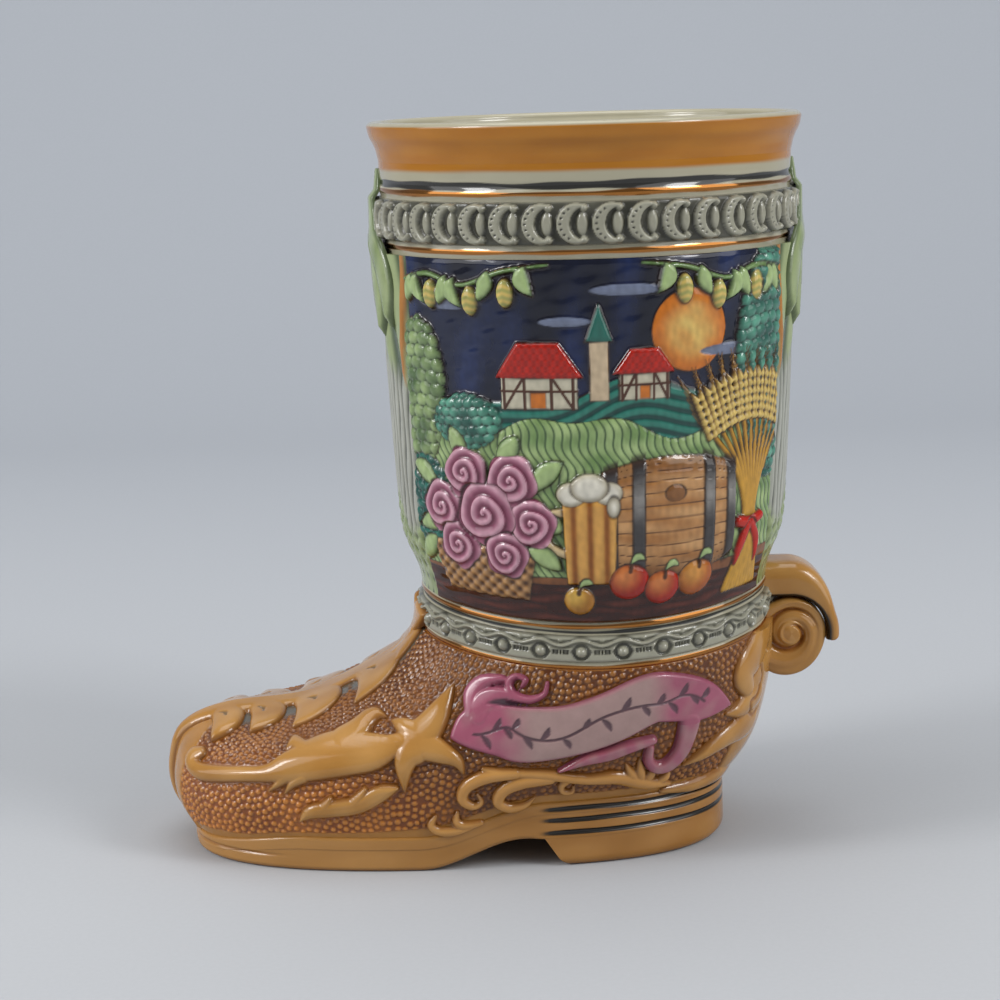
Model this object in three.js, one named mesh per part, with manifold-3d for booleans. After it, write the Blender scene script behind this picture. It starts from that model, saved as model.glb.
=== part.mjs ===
// A boot-shaped drinking stein in glazed stoneware: a round leg open at the top, a hollow foot with
// welt, sole and heel, a scrolled spur at the back, and moulded reliefs (sprigs) luted on to both.
// Millimetres, +Z up. The toe points along -X and the left side of the boot faces -Y.
import * as THREE from "three";
import { mergeVertices } from "three/addons/utils/BufferGeometryUtils.js";
import Module from "manifold-3d";

// Driving dimensions of the leg
const RIM_TOP = 152;
const RIM_RADIUS = 45;
const RIM_HEIGHT = 8;
const LIP_THICKNESS = 4;
const LIP_ROUND = 1.2;
const WALL = 4.2;
const ANKLE_HEIGHT = 43;
const ANKLE_RADIUS = 36.8;
const LEG_HEAD_RADIUS = 42.8;
const LEG_SWELL = 0.6;
const LEG_WAIST = 1.8;
const WAIST_RISE = 11;
const WAIST_SPAN = 7.5;

// Driving dimensions of the bands and reliefs on the leg
const LUTE_GAP = 0.3;
const COLLAR_DROP = 15.2;
const COLLAR_HEIGHT = 8.6;
const COLLAR_RELIEF = 1.8;
const BAND_RISE = 1.4;
const BAND_HEIGHT = 5.6;
const BAND_RELIEF = 1.2;
const FRIEZE_MARGIN = 2.6;
const PANEL_HALF_ANGLE = 61;
const PANEL_GROUND = 0.6;
const PANEL_RELIEF = 1.8;
const TRUNK_RELIEF = 1;
const SEAM_ANGLE = 1;
const LEAF_HALF_ANGLE = 21;
const LEAF_TOP_RISE = 3.4;
const LEAF_DROP = 13;
const LEAF_RELIEF = 1.4;

// Driving dimensions of the foot
const TOE_REACH = 87;
const HEEL_REACH = 26.5;
const SOLE_HALF_WIDTH = 31.5;
const SOLE_SQUARENESS = 2.6;
const BALL_THICKNESS = 7;
const TOE_THICKNESS = 4;
const HEEL_THICKNESS = 13.5;
const ARCH_HEIGHT = 6;
const ARCH_LENGTH = 26;
const WELT_THICKNESS = 2.2;
const WELT_LIP = 0.5;
const HEEL_BREAST = -12;
const HEEL_RAKE = 4;
const CHEEK_SWELL = 2.2;
const FLOOR_RISE = 4;

// Driving dimensions of the sprigs on the foot
const SPRIG_RELIEF = 1.5;
const CREST_HALF_WIDTH = 4.8;
const COUNTER_HALF_WIDTH = 10.5;
const BANNER_WIDTH = 10;
const LEAF_BLADE = 9;
const FROND_WIDTH = 5;
const VINE_WIDTH = 2.6;

// Driving dimensions of the spur
const SPUR_WIDTH = 14;
const STRAP_ROOT_THICKNESS = 7.6;
const STRAP_TIP_THICKNESS = 2.9;
const STRAP_EDGE_SHARE = 0.5;
const STRAP_WRAP = 102;
const VOLUTE_WIDTH = 12;
const VOLUTE_RADIUS = 7.5;
const VOLUTE_X = 41.6;
const VOLUTE_Z = 41.9;

// Facets
const LEG_FACETS = 48;
const FOOT_FACETS = 64;
const LEG_RINGS = 8;
const FOOT_RINGS = 14;
const CAVITY_RINGS = 6;

const { lerp, smoothstep, clamp, degToRad } = THREE.MathUtils;
const wasm = await Module();
wasm.setup();

// Solids from surfaces

// Numbers from low to high in equal steps, ends included.
function levels(low, high, steps) {
  return Array.from({ length: steps + 1 }, (_, i) => lerp(low, high, i / steps));
}

// A solid of revolution about the leg's axis, from an anticlockwise outline of [radius, height] points.
function turned(outline) {
  const points = [...outline, outline[0]].map(([r, z]) => new THREE.Vector2(r, z));
  return new THREE.LatheGeometry(points, LEG_FACETS).rotateX(Math.PI / 2);
}

function closedGeometry(points, triangles) {
  return new THREE.BufferGeometry().setFromPoints(points).setIndex(triangles.flat());
}

// Triangles of the walls between loops of equal count, each loop anticlockwise seen from above.
function walls(loops, ringed) {
  const count = loops[0].length;
  const triangles = [];
  for (let ring = 0; ring < loops.length - (ringed ? 0 : 1); ring++) {
    const here = ring * count;
    const there = ((ring + 1) % loops.length) * count;
    for (let i = 0; i < count; i++) {
      const next = (i + 1) % count;
      triangles.push([here + i, here + next, there + next], [here + i, there + next, there + i]);
    }
  }
  return triangles;
}

// A solid skinned over loops that start at the heel; rungs across the boot close its two ends.
function lofted(loops) {
  const count = loops[0].length;
  const last = (loops.length - 1) * count;
  const triangles = walls(loops, false);
  for (let i = 0; i < Math.floor(count / 2); i++) {
    const [a, b, c, d] = [i, i + 1, count - i - 1, (count - i) % count];
    if (b !== c) triangles.push([c, b, a], [last + a, last + b, last + c]);
    if (a !== d) triangles.push([d, c, a], [last + a, last + c, last + d]);
  }
  return closedGeometry(loops.flat(), triangles);
}

// A curved plate between two sheets: sheet(u, v, side) is a point for u and v from 0 to 1, with side 0
// the back and side 1 the face. Seen from the face u runs to the right and v up.
function plate(sheet, across, up) {
  const rows = (side) => levels(0, 1, up).map((v) => levels(0, 1, across).map((u) => sheet(u, v, side)));
  const points = [rows(0), rows(1)].flat(2);
  const at = (i, j, side) => (side * (up + 1) + j) * (across + 1) + i;
  const triangles = [];
  const quad = (a, b, c, d) => triangles.push([a, b, c], [a, c, d]);
  for (let j = 0; j < up; j++) {
    for (let i = 0; i < across; i++) {
      quad(at(i, j, 1), at(i + 1, j, 1), at(i + 1, j + 1, 1), at(i, j + 1, 1));
      quad(at(i, j + 1, 0), at(i + 1, j + 1, 0), at(i + 1, j, 0), at(i, j, 0));
    }
  }
  for (let i = 0; i < across; i++) {
    quad(at(i, 0, 0), at(i + 1, 0, 0), at(i + 1, 0, 1), at(i, 0, 1));
    quad(at(i, up, 1), at(i + 1, up, 1), at(i + 1, up, 0), at(i, up, 0));
  }
  for (let j = 0; j < up; j++) {
    quad(at(0, j + 1, 0), at(0, j, 0), at(0, j, 1), at(0, j + 1, 1));
    quad(at(across, j, 0), at(across, j + 1, 0), at(across, j + 1, 1), at(across, j, 1));
  }
  return closedGeometry(points, triangles);
}

function toSolid(geometry) {
  const bare = geometry.clone();
  bare.deleteAttribute("normal");
  bare.deleteAttribute("uv");
  const merged = mergeVertices(bare, 1e-4);
  const vertProperties = new Float32Array(merged.attributes.position.array);
  const triVerts = new Uint32Array(merged.index.array);
  return new wasm.Manifold(new wasm.Mesh({ numProp: 3, vertProperties, triVerts }));
}

function toGeometry(solid) {
  const { vertProperties, triVerts } = solid.getMesh();
  const geometry = new THREE.BufferGeometry();
  geometry.setAttribute("position", new THREE.BufferAttribute(vertProperties, 3));
  return geometry.setIndex(new THREE.BufferAttribute(triVerts, 1));
}

// The leg

const RIM_SEAT = RIM_TOP - RIM_HEIGHT;
const COLLAR_HIGH = RIM_TOP - COLLAR_DROP;
const COLLAR_LOW = COLLAR_HIGH - COLLAR_HEIGHT;
const BAND_LOW = ANKLE_HEIGHT + BAND_RISE;
const BAND_HIGH = BAND_LOW + BAND_HEIGHT;
const FRIEZE_LOW = BAND_HIGH + FRIEZE_MARGIN;
const FRIEZE_HIGH = COLLAR_LOW - FRIEZE_MARGIN;

const WAIST_HEIGHT = ANKLE_HEIGHT + WAIST_RISE;
const WAIST_TOP = WAIST_HEIGHT + 2 * WAIST_SPAN;

// Outer radius of the leg: it swells fast from a waist above the ankle and is nearly straight below the rim.
function legRadius(z) {
  const share = clamp((z - ANKLE_HEIGHT) / (RIM_SEAT - ANKLE_HEIGHT), 0, 1);
  const waist = LEG_WAIST * Math.exp(-(((z - WAIST_HEIGHT) / WAIST_SPAN) ** 2));
  return lerp(ANKLE_RADIUS, LEG_HEAD_RADIUS, share ** LEG_SWELL) - waist;
}

function legShaft() {
  const waist = levels(ANKLE_HEIGHT, WAIST_TOP, LEG_RINGS);
  const heights = [...waist, ...levels(WAIST_TOP, RIM_SEAT, LEG_RINGS).slice(1)];
  const outside = heights.map((z) => [legRadius(z), z]);
  const inside = heights.map((z) => [legRadius(z) - WALL, z]).reverse();
  return turned([...outside, ...inside]);
}

// The lip flares from the leg's head to the rim and is rounded over on both edges.
function rimLip() {
  const inner = RIM_RADIUS - LIP_THICKNESS;
  const crown = RIM_TOP - LIP_ROUND;
  const bend = (x, from, to) => new THREE.EllipseCurve(x, crown, LIP_ROUND, LIP_ROUND, from, to).getPoints(3);
  const outerEdge = bend(RIM_RADIUS - LIP_ROUND, 0, Math.PI / 2);
  const innerEdge = bend(inner + LIP_ROUND, Math.PI / 2, Math.PI);
  return turned([
    [LEG_HEAD_RADIUS - WALL, RIM_SEAT],
    [LEG_HEAD_RADIUS, RIM_SEAT],
    [lerp(LEG_HEAD_RADIUS, RIM_RADIUS, 0.5), lerp(RIM_SEAT, RIM_TOP, 0.4)],
    ...[...outerEdge, ...innerEdge].map((p) => [p.x, p.y]),
  ]);
}

// Bore of a ring round the leg that clears it between two heights.
const ringBore = (low, high) => Math.max(...levels(low, high, 4).map(legRadius)) + LUTE_GAP;

// A moulded ring round the leg, bowed by half its relief.
function bandRing(low, high, relief) {
  const bore = ringBore(low, high);
  const bow = (z) => 1 - (2 * (z - low) / (high - low) - 1) ** 2;
  const outside = levels(low, high, 4).map((z) => [bore + relief * (0.5 + 0.5 * bow(z)), z]);
  return turned([...outside, [bore, high], [bore, low]]);
}

// A sprig on the leg about an angle: its half width in degrees over v, its back and face as radii.
function legPlate(centre, halfAngle, low, high, back, face, across, up) {
  const sheet = (u, v, side) => {
    const z = lerp(low, high, v);
    const angle = degToRad(centre + (2 * u - 1) * halfAngle(v));
    const radius = side ? face(z, u) : back(z);
    return new THREE.Vector3(radius * Math.cos(angle), radius * Math.sin(angle), z);
  };
  return plate(sheet, across, up);
}

const proudOf = (relief) => (z) => legRadius(z) + LUTE_GAP + relief;

// The main forms of the picture, as shares of the field: [middle from the toe's edge, middle up, half width,
// half height, relief, squareness]. A keg, a glass, a basket of blooms, a sheaf, a village, trees and a board.
const PICTURE_FORMS = [
  [0.67, 0.29, 0.165, 0.17, 1, 3],
  [0.475, 0.26, 0.06, 0.15, 1, 4],
  [0.22, 0.27, 0.155, 0.2, 1, 3],
  [0.89, 0.22, 0.06, 0.18, 0.7, 3],
  [0.885, 0.62, 0.12, 0.1, 0.8, 3],
  [0.37, 0.69, 0.095, 0.09, 0.5, 5],
  [0.605, 0.685, 0.065, 0.07, 0.5, 5],
  [0.715, 0.8, 0.095, 0.12, 0.25, 2],
  [0.965, 0.69, 0.125, 0.33, 0.65, 2.5],
  [0.025, 0.61, 0.1, 0.235, 0.65, 2.5],
  [0.19, 0.56, 0.09, 0.08, 0.6, 2],
  [0.045, 0.32, 0.09, 0.14, 0.6, 2],
  [0.65, 0.1, 0.14, 0.06, 0.9, 3],
  [0.5, 0.02, 0.52, 0.12, 0.4, 8],
];

// Relief of the picture at one point of its field: each form is a swell that drops off at its outline.
function pictureRelief(u, v) {
  const swells = PICTURE_FORMS.map(([x, y, wide, high, relief, squareness]) => {
    const away = Math.abs((u - x) / wide) ** squareness + Math.abs((v - y) / high) ** squareness;
    return relief * Math.sqrt(clamp(1 - away, 0, 1));
  });
  return PANEL_RELIEF * Math.max(...swells);
}

// A picture field on one side of the leg: a tile in low relief. Toe and heel keep their places on both sides.
function scenePanel(centre) {
  const field = (z) => (z - FRIEZE_LOW) / (FRIEZE_HIGH - FRIEZE_LOW);
  const fromToe = (u) => (centre < 0 ? u : 1 - u);
  const face = (z, u) => proudOf(PANEL_GROUND + pictureRelief(fromToe(u), field(z)))(z);
  return legPlate(centre, () => PANEL_HALF_ANGLE, FRIEZE_LOW, FRIEZE_HIGH, proudOf(0), face, 28, 23);
}

// A trunk fills the frieze between the two fields, rounded across and thin at its foot.
function trunk(centre) {
  const halfAngle = 90 - PANEL_HALF_ANGLE - SEAM_ANGLE;
  const rooted = (z) => lerp(0.4, 1, smoothstep(z, FRIEZE_LOW, WAIST_TOP));
  const face = (z, u) => proudOf(TRUNK_RELIEF * rooted(z) * (0.6 + 0.4 * Math.sin(Math.PI * u)))(z);
  return legPlate(centre, () => halfAngle, FRIEZE_LOW, FRIEZE_HIGH, proudOf(0), face, 8, 20);
}

// A leaf hangs over the collar and the head of each trunk, and narrows to its tip.
function hangingLeaf(centre) {
  const back = proudOf(Math.max(COLLAR_RELIEF, TRUNK_RELIEF) + LUTE_GAP);
  const face = (z, u) => back(z) + LEAF_RELIEF * (0.4 + 0.6 * Math.sin(Math.PI * u));
  const spread = (v) => LEAF_HALF_ANGLE * (0.08 + 0.92 * Math.sin(0.85 * Math.PI * v) ** 0.8);
  return legPlate(centre, spread, COLLAR_LOW - LEAF_DROP, COLLAR_HIGH + LEAF_TOP_RISE, back, face, 8, 10);
}

// The foot

const SOLE_CENTRE = (HEEL_REACH - TOE_REACH) / 2;
const SOLE_HALF_LENGTH = (HEEL_REACH + TOE_REACH) / 2;
const OUTLINE_STEPS = 720;

// Half of the sole's outline, a squared ellipse from the heel (+X) by +Y to the toe.
const outline = levels(0, Math.PI, OUTLINE_STEPS).map((angle) => {
  const squared = (value) => Math.sign(value) * Math.abs(value) ** (2 / SOLE_SQUARENESS);
  const x = SOLE_CENTRE + SOLE_HALF_LENGTH * squared(Math.cos(angle));
  return new THREE.Vector2(x, SOLE_HALF_WIDTH * squared(Math.sin(angle)));
});
const walked = [0];
for (let i = 1; i <= OUTLINE_STEPS; i++) {
  walked.push(walked[i - 1] + outline[i].distanceTo(outline[i - 1]));
}
const HALF_GIRTH = walked[OUTLINE_STEPS];

// A point of the sole's outline by its length: stride 0 is the heel, 1 the toe, 2 the heel again.
function soleOutline(stride) {
  const half = stride <= 1 ? stride : 2 - stride;
  const goal = half * HALF_GIRTH;
  const after = clamp(walked.findIndex((length) => length >= goal - 1e-9), 1, OUTLINE_STEPS);
  const part = (goal - walked[after - 1]) / (walked[after] - walked[after - 1]);
  const point = outline[after - 1].clone().lerp(outline[after], part);
  return stride <= 1 ? point : new THREE.Vector2(point.x, -point.y);
}

// Height of the feather line, where the upper meets the welt: low at the toe, high over the heel.
function featherHeight(x) {
  const ball = lerp(TOE_THICKNESS, BALL_THICKNESS, smoothstep(x, -TOE_REACH, -0.7 * TOE_REACH));
  return lerp(ball, HEEL_THICKNESS, smoothstep(x, HEEL_BREAST - ARCH_LENGTH, HEEL_BREAST));
}

// Profiles of the upper at four stations from heel to toe, as shares of the way across and up
// from the feather line to the ankle.
const profile = (...pairs) => new THREE.SplineCurve(pairs.map(([a, u]) => new THREE.Vector2(a, u)));
const STATIONS = [
  { stride: 0, curve: profile([0, 0], [0.26, 0.1], [0.48, 0.21], [0.64, 0.33], [0.77, 0.48], [0.87, 0.64],
    [0.95, 0.82], [1, 1]) },
  { stride: 0.33, curve: profile([0, 0], [0.2, 0.14], [0.38, 0.28], [0.53, 0.42], [0.67, 0.56], [0.79, 0.7],
    [0.9, 0.85], [1, 1]) },
  { stride: 0.62, curve: profile([0, 0], [-0.05, 0.145], [-0.05, 0.28], [0.01, 0.39], [0.12, 0.485],
    [0.35, 0.58], [0.7, 0.77], [1, 1]) },
  { stride: 1, curve: profile([0, 0], [-0.075, 0.17], [-0.083, 0.335], [-0.03, 0.5], [0.15, 0.6],
    [0.5, 0.668], [0.79, 0.832], [1, 1]) },
];
const ANKLE_LEAD = 0.12;

// A point of the upper's outside; rise runs from the feather line (0) to the ankle (1). Profiles ease into
// each other, but along the vamp's middle they meet in a ridge.
function upperPoint(stride, rise) {
  const half = stride <= 1 ? stride : 2 - stride;
  const next = clamp(STATIONS.findIndex((station) => station.stride >= half), 1, STATIONS.length - 1);
  const [before, after] = [STATIONS[next - 1], STATIONS[next]];
  const share = (half - before.stride) / (after.stride - before.stride);
  const blend = after.stride < 1 ? smoothstep(share, 0, 1) : share ** 2;
  const shape = before.curve.getPoint(rise).lerp(after.curve.getPoint(rise), blend);
  const start = soleOutline(stride);
  const turn = Math.PI * (stride + ANKLE_LEAD * Math.sin(Math.PI * stride));
  const ankle = new THREE.Vector2(Math.cos(turn), Math.sin(turn)).multiplyScalar(ANKLE_RADIUS);
  const plan = start.clone().lerp(ankle, shape.x);
  const swell = CHEEK_SWELL * 4 * rise * (1 - rise) * Math.sin(Math.PI * stride);
  return new THREE.Vector3(plan.x, plan.y + swell, lerp(featherHeight(start.x), ANKLE_HEIGHT, shape.y));
}

// The same point moved out along the surface's normal.
function upperOffset(stride, rise, distance) {
  const step = 1e-3;
  const round = (s) => (s + 2) % 2;
  const along = upperPoint(round(stride + step), rise).sub(upperPoint(round(stride - step), rise));
  const below = upperPoint(round(stride), Math.max(0, rise - step));
  const above = upperPoint(round(stride), Math.min(1, rise + step));
  const normal = along.cross(above.sub(below)).normalize();
  return upperPoint(round(stride), rise).addScaledVector(normal, distance);
}

const STRIDES = levels(0, 2, FOOT_FACETS).slice(0, FOOT_FACETS);
const upperLoop = (rise, distance) => STRIDES.map((stride) => upperOffset(stride, rise, distance));

// The upper is a hollow casting, open at the ankle and floored above the welt.
function footUpper() {
  const outside = levels(0, 1, FOOT_RINGS).map((rise) => upperLoop(rise, 0));
  const mouth = outside[FOOT_RINGS].map((p) => {
    const inset = 1 - WALL / ANKLE_RADIUS;
    return new THREE.Vector3(p.x * inset, p.y * inset, p.z);
  });
  const floor = FLOOR_RISE / (ANKLE_HEIGHT - BALL_THICKNESS);
  const inside = levels(floor, 0.93, CAVITY_RINGS).reverse().map((rise) => upperLoop(rise, -WALL));
  return lofted([...outside, mouth, ...inside]);
}

// A loop of the sole's outline at heights over x, grown outwards by a lip.
function slabLoop(height, lip) {
  return STRIDES.map((stride) => {
    const { x, y } = soleOutline(stride);
    const grownX = SOLE_CENTRE + (x - SOLE_CENTRE) * (1 + lip / SOLE_HALF_LENGTH);
    return new THREE.Vector3(grownX, y * (1 + lip / SOLE_HALF_WIDTH), height(x));
  });
}

const weltUnderside = (x) => featherHeight(x) - WELT_THICKNESS;

function welt() {
  return lofted([
    slabLoop(weltUnderside, 0),
    slabLoop(weltUnderside, WELT_LIP),
    slabLoop(featherHeight, WELT_LIP),
    slabLoop(featherHeight, 0),
  ]);
}

// The sole is flat at the ball and arches up to the heel; the arch ends one facet before the heel.
const FACET_LENGTH = 2 * HALF_GIRTH / FOOT_FACETS;
function sole() {
  const archEnd = HEEL_BREAST - FACET_LENGTH;
  const underside = (x) => ARCH_HEIGHT * smoothstep(x, HEEL_BREAST - ARCH_LENGTH, archEnd);
  return lofted([slabLoop(underside, 0), slabLoop(weltUnderside, 0)]);
}

// The heel stands under the back of the sole, its breast raked back towards the ground.
function heel() {
  let [near, far] = [0, 1];
  for (let i = 0; i < 30; i++) {
    const middle = (near + far) / 2;
    if (soleOutline(middle).x > HEEL_BREAST) near = middle;
    else far = middle;
  }
  const half = levels(0, near, 12).map((stride) => soleOutline(stride));
  const edge = [...half, ...half.slice(1).reverse().map((p) => new THREE.Vector2(p.x, -p.y))];
  const rake = (HEEL_REACH - HEEL_BREAST - HEEL_RAKE) / (HEEL_REACH - HEEL_BREAST);
  const ground = edge.map((p) => new THREE.Vector3(HEEL_REACH - (HEEL_REACH - p.x) * rake, p.y, 0));
  const seat = edge.map((p) => new THREE.Vector3(p.x, p.y, ARCH_HEIGHT));
  return lofted([ground, seat]);
}

// The sprigs on the foot

// Millimetres of surface per unit of stride at one point of the upper.
function strideLength(stride, rise) {
  const step = 1e-3;
  return upperPoint(stride + step, rise).distanceTo(upperPoint(stride, rise)) / step;
}

// A sprig laid along a meridian of the upper, symmetric about it, with a half width in mm over rise.
function meridianSprig(stride, halfWidth, low, high, across, up) {
  const sheet = (u, v, side) => {
    const rise = lerp(low, high, v);
    const spread = halfWidth(v) / strideLength(stride, rise);
    const thickness = SPRIG_RELIEF * (0.35 + 0.65 * Math.sin(Math.PI * u));
    return upperOffset(stride + (2 * u - 1) * spread, rise, LUTE_GAP + side * thickness);
  };
  return plate(sheet, across, up);
}

// The counter leaf wraps the back of the heel below the spur.
function counterLeaf() {
  const halfWidth = (v) => COUNTER_HALF_WIDTH * (0.6 + 0.4 * Math.sin(Math.PI * v));
  return meridianSprig(0, halfWidth, 0.06, 0.96, 8, 10);
}

// A flat shape that follows a path of [share of the foot's length from the heel, share of a height] points,
// with half widths in mm spread evenly along it. Seen from the side the height is the ankle's.
function stroke(path, halfWidths, height = ANKLE_HEIGHT) {
  const length = HEEL_REACH + TOE_REACH;
  const spine = path.map(([f, h]) => new THREE.Vector2(HEEL_REACH - f * length, h * height));
  const curve = new THREE.SplineCurve(spine);
  const steps = 4 * (path.length - 1);
  const sides = levels(0, 1, steps).map((t) => {
    const place = Math.min(t * (halfWidths.length - 1), halfWidths.length - 1 - 1e-9);
    const lower = Math.floor(place);
    const half = lerp(halfWidths[lower], halfWidths[lower + 1], place - lower);
    const tangent = curve.getTangent(t);
    const across = new THREE.Vector2(-tangent.y, tangent.x).multiplyScalar(half);
    return [curve.getPoint(t).add(across), curve.getPoint(t).sub(across)];
  });
  const left = sides.map(([a]) => a);
  const right = sides.map(([, b]) => b).reverse();
  return new THREE.Shape([...left, ...right]);
}

// The layer just outside the upper that sprigs are pressed from.
const SPRIG_DEPTH = LUTE_GAP + SPRIG_RELIEF;
const RISES = levels(0.01, 1, FOOT_RINGS);
const outerLoops = RISES.map((rise) => upperLoop(rise, SPRIG_DEPTH));
const innerLoops = RISES.map((rise) => upperLoop(rise, LUTE_GAP)).reverse();
const layerLoops = [...outerLoops, ...innerLoops];
const sprigLayer = toSolid(closedGeometry(layerLoops.flat(), walls(layerLoops, true)));

// Sprigs cut from that layer by side-view shapes: side -1 is the left of the boot and +1 the right.
function sideSprig(shapes, side) {
  const depth = 2 * SOLE_HALF_WIDTH;
  const cutters = shapes.map((shape) => {
    const prism = new THREE.ExtrudeGeometry(shape, { depth, bevelEnabled: false });
    return toSolid(prism.rotateX(Math.PI / 2).translate(0, side > 0 ? depth : 0, 0));
  });
  return toGeometry(wasm.Manifold.union(cutters).intersect(sprigLayer));
}

// The crest is a leaf over the vamp, seen from above: a rib from the toe to the ankle and five lobes on each
// side that hook towards the toe, as [share of the foot's length, reach as a share of the sole's half width].
const CREST_LOBES = [[0.938, 0.39], [0.866, 0.48], [0.778, 0.53], [0.665, 0.54], [0.595, 0.29]];
function toeCrest() {
  const half = CREST_HALF_WIDTH;
  const rib = stroke([[1.08, 0], [1, 0], [0.94, 0], [0.8, 0], [0.67, 0], [0.55, 0]],
    [0.55 * half, 0.65 * half, 0.9 * half, half, half, 0.9 * half]);
  const shapes = [rib];
  for (const side of [-1, 1]) {
    for (const [f, reach] of CREST_LOBES) {
      const lobe = [[f, 0], [f - 0.014, 0.38 * reach], [f - 0.013, 0.7 * reach], [f + 0.015, reach]];
      const width = half * lerp(0.5, 1, smoothstep(reach, 0.2, 0.52));
      const path = lobe.map(([along, out]) => [along, side * out]);
      shapes.push(stroke(path, [width, width, 0.85 * width, 0.12 * width], SOLE_HALF_WIDTH));
    }
  }
  const prisms = shapes.map((shape) => {
    return toSolid(new THREE.ExtrudeGeometry(shape, { depth: ANKLE_HEIGHT, bevelEnabled: false }));
  });
  return toGeometry(wasm.Manifold.union(prisms).intersect(sprigLayer));
}

// The banner lies along the quarter of the boot, rising to the heel.
function bannerShapes() {
  const half = BANNER_WIDTH / 2;
  const path = [[0.47, 0.66], [0.375, 0.675], [0.27, 0.695], [0.165, 0.755], [0.06, 0.84]];
  return [stroke(path, [half, half, half])];
}

// The acanthus leaf lies along the vamp: a blade with a curled tail and three lobes.
function sideLeafShapes() {
  const half = LEAF_BLADE / 2;
  return [
    stroke([[0.955, 0.56], [0.87, 0.495], [0.765, 0.54], [0.67, 0.59], [0.585, 0.6], [0.525, 0.7]],
      [0.15 * half, 0.4 * half, 0.8 * half, half, half, 0.3 * half]),
    stroke([[0.7, 0.58], [0.65, 0.66], [0.625, 0.76]], [0.55 * half, 0.6 * half, 0.1 * half]),
    stroke([[0.6, 0.58], [0.59, 0.47], [0.59, 0.39]], [0.55 * half, 0.5 * half, 0.1 * half]),
    stroke([[0.55, 0.62], [0.52, 0.75], [0.5, 0.88]], [0.5 * half, 0.4 * half, 0.1 * half]),
  ];
}

// A small frond lies below the leaf near the welt.
function frondShapes() {
  const half = FROND_WIDTH / 2;
  return [stroke([[0.785, 0.29], [0.71, 0.34], [0.61, 0.44]], [0.2 * half, half, 0.2 * half])];
}

// A scroll vine waves along the quarter between the banner and the welt.
function vineShapes() {
  const half = VINE_WIDTH / 2;
  const stem = [[0.56, 0.3], [0.5, 0.4], [0.42, 0.38], [0.34, 0.45], [0.26, 0.41], [0.18, 0.5], [0.11, 0.49]];
  return [
    stroke(stem, [0.6 * half, half, half, half, 0.5 * half]),
    stroke([[0.42, 0.38], [0.38, 0.45], [0.4, 0.5]], [half, 0.8 * half, 0.3 * half]),
    stroke([[0.26, 0.41], [0.22, 0.37], [0.17, 0.38]], [half, 0.8 * half, 0.3 * half]),
  ];
}

// The spur

// What the spur is cut back from: the foot and leg with their sprigs, and the luting gap.
const seatDepth = SPRIG_DEPTH + LUTE_GAP;
const footSeat = toSolid(lofted(RISES.map((rise) => upperLoop(rise, seatDepth))));
const bandSeat = ringBore(BAND_LOW, BAND_HIGH) + BAND_RELIEF + LUTE_GAP;
const trunkFace = proudOf(TRUNK_RELIEF + LUTE_GAP);
const trunkSeat = levels(FRIEZE_LOW, RIM_SEAT, LEG_RINGS * 4).map((z) => [trunkFace(z), z]);
const bandOutline = [[0, ANKLE_HEIGHT - 1], [bandSeat, ANKLE_HEIGHT - 1], [bandSeat, BAND_HIGH + LUTE_GAP]];
const legSeat = toSolid(turned([...bandOutline, ...trunkSeat, [0, RIM_SEAT]]));

// A bar across the boot's middle plane from a side-view shape.
function bar(shape, width) {
  const prism = new THREE.ExtrudeGeometry(shape, { depth: width, bevelEnabled: false, curveSegments: 20 });
  return toSolid(prism.rotateX(Math.PI / 2).translate(0, width / 2, 0));
}

const seated = (solid) => toGeometry(solid.subtract(footSeat).subtract(legSeat));

// A section of the strap, flat below and crowned on top, at a place along it and turned round the volute by
// a wrap in degrees. It thins down over the first part of the wrap.
function strapSection(x, wrap) {
  const taper = smoothstep(wrap, 0, 0.7 * STRAP_WRAP);
  const crown = lerp(STRAP_ROOT_THICKNESS, STRAP_TIP_THICKNESS, taper);
  const edge = STRAP_EDGE_SHARE * crown;
  const half = SPUR_WIDTH / 2;
  const bow = levels(0, Math.PI, 8).map((a) => [half * Math.cos(a), edge + (crown - edge) * Math.sin(a)]);
  const out = degToRad(90 - wrap);
  return [[-half, 0], [half, 0], ...bow].map(([y, rise]) => {
    const radius = VOLUTE_RADIUS + LUTE_GAP + rise;
    return new THREE.Vector3(x + radius * Math.cos(out), y, VOLUTE_Z + radius * Math.sin(out));
  });
}

// The strap leaves the leg above the ankle band and wraps the volute like a horn.
function spurStrap() {
  const root = strapSection(ANKLE_RADIUS - WALL / 2, 0);
  const wrapped = levels(0, STRAP_WRAP, 16).map((wrap) => strapSection(VOLUTE_X, wrap));
  return seated(toSolid(lofted([root, ...wrapped])));
}

// The volute is a rolled scroll end that sits on the counter leaf under the strap.
function spurVolute() {
  const disc = new THREE.Shape().absarc(VOLUTE_X, VOLUTE_Z, VOLUTE_RADIUS, 0, 2 * Math.PI);
  return seated(bar(disc, VOLUTE_WIDTH));
}

// The stein

const glaze = (hex) => ({ color: new THREE.Color(hex), roughness: 0.2, metalness: 0 });
const CREAM = glaze("#d9d3bd");
const TAN = glaze("#c08a45");
const BROWN = glaze("#8a5a35");
const COBALT = glaze("#1d2a4f");
const MOSS = glaze("#93a06a");
const PINK = glaze("#b9708c");
const PEWTER = glaze("#9d9c8a");
const AMBER = glaze("#c78540");

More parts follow.
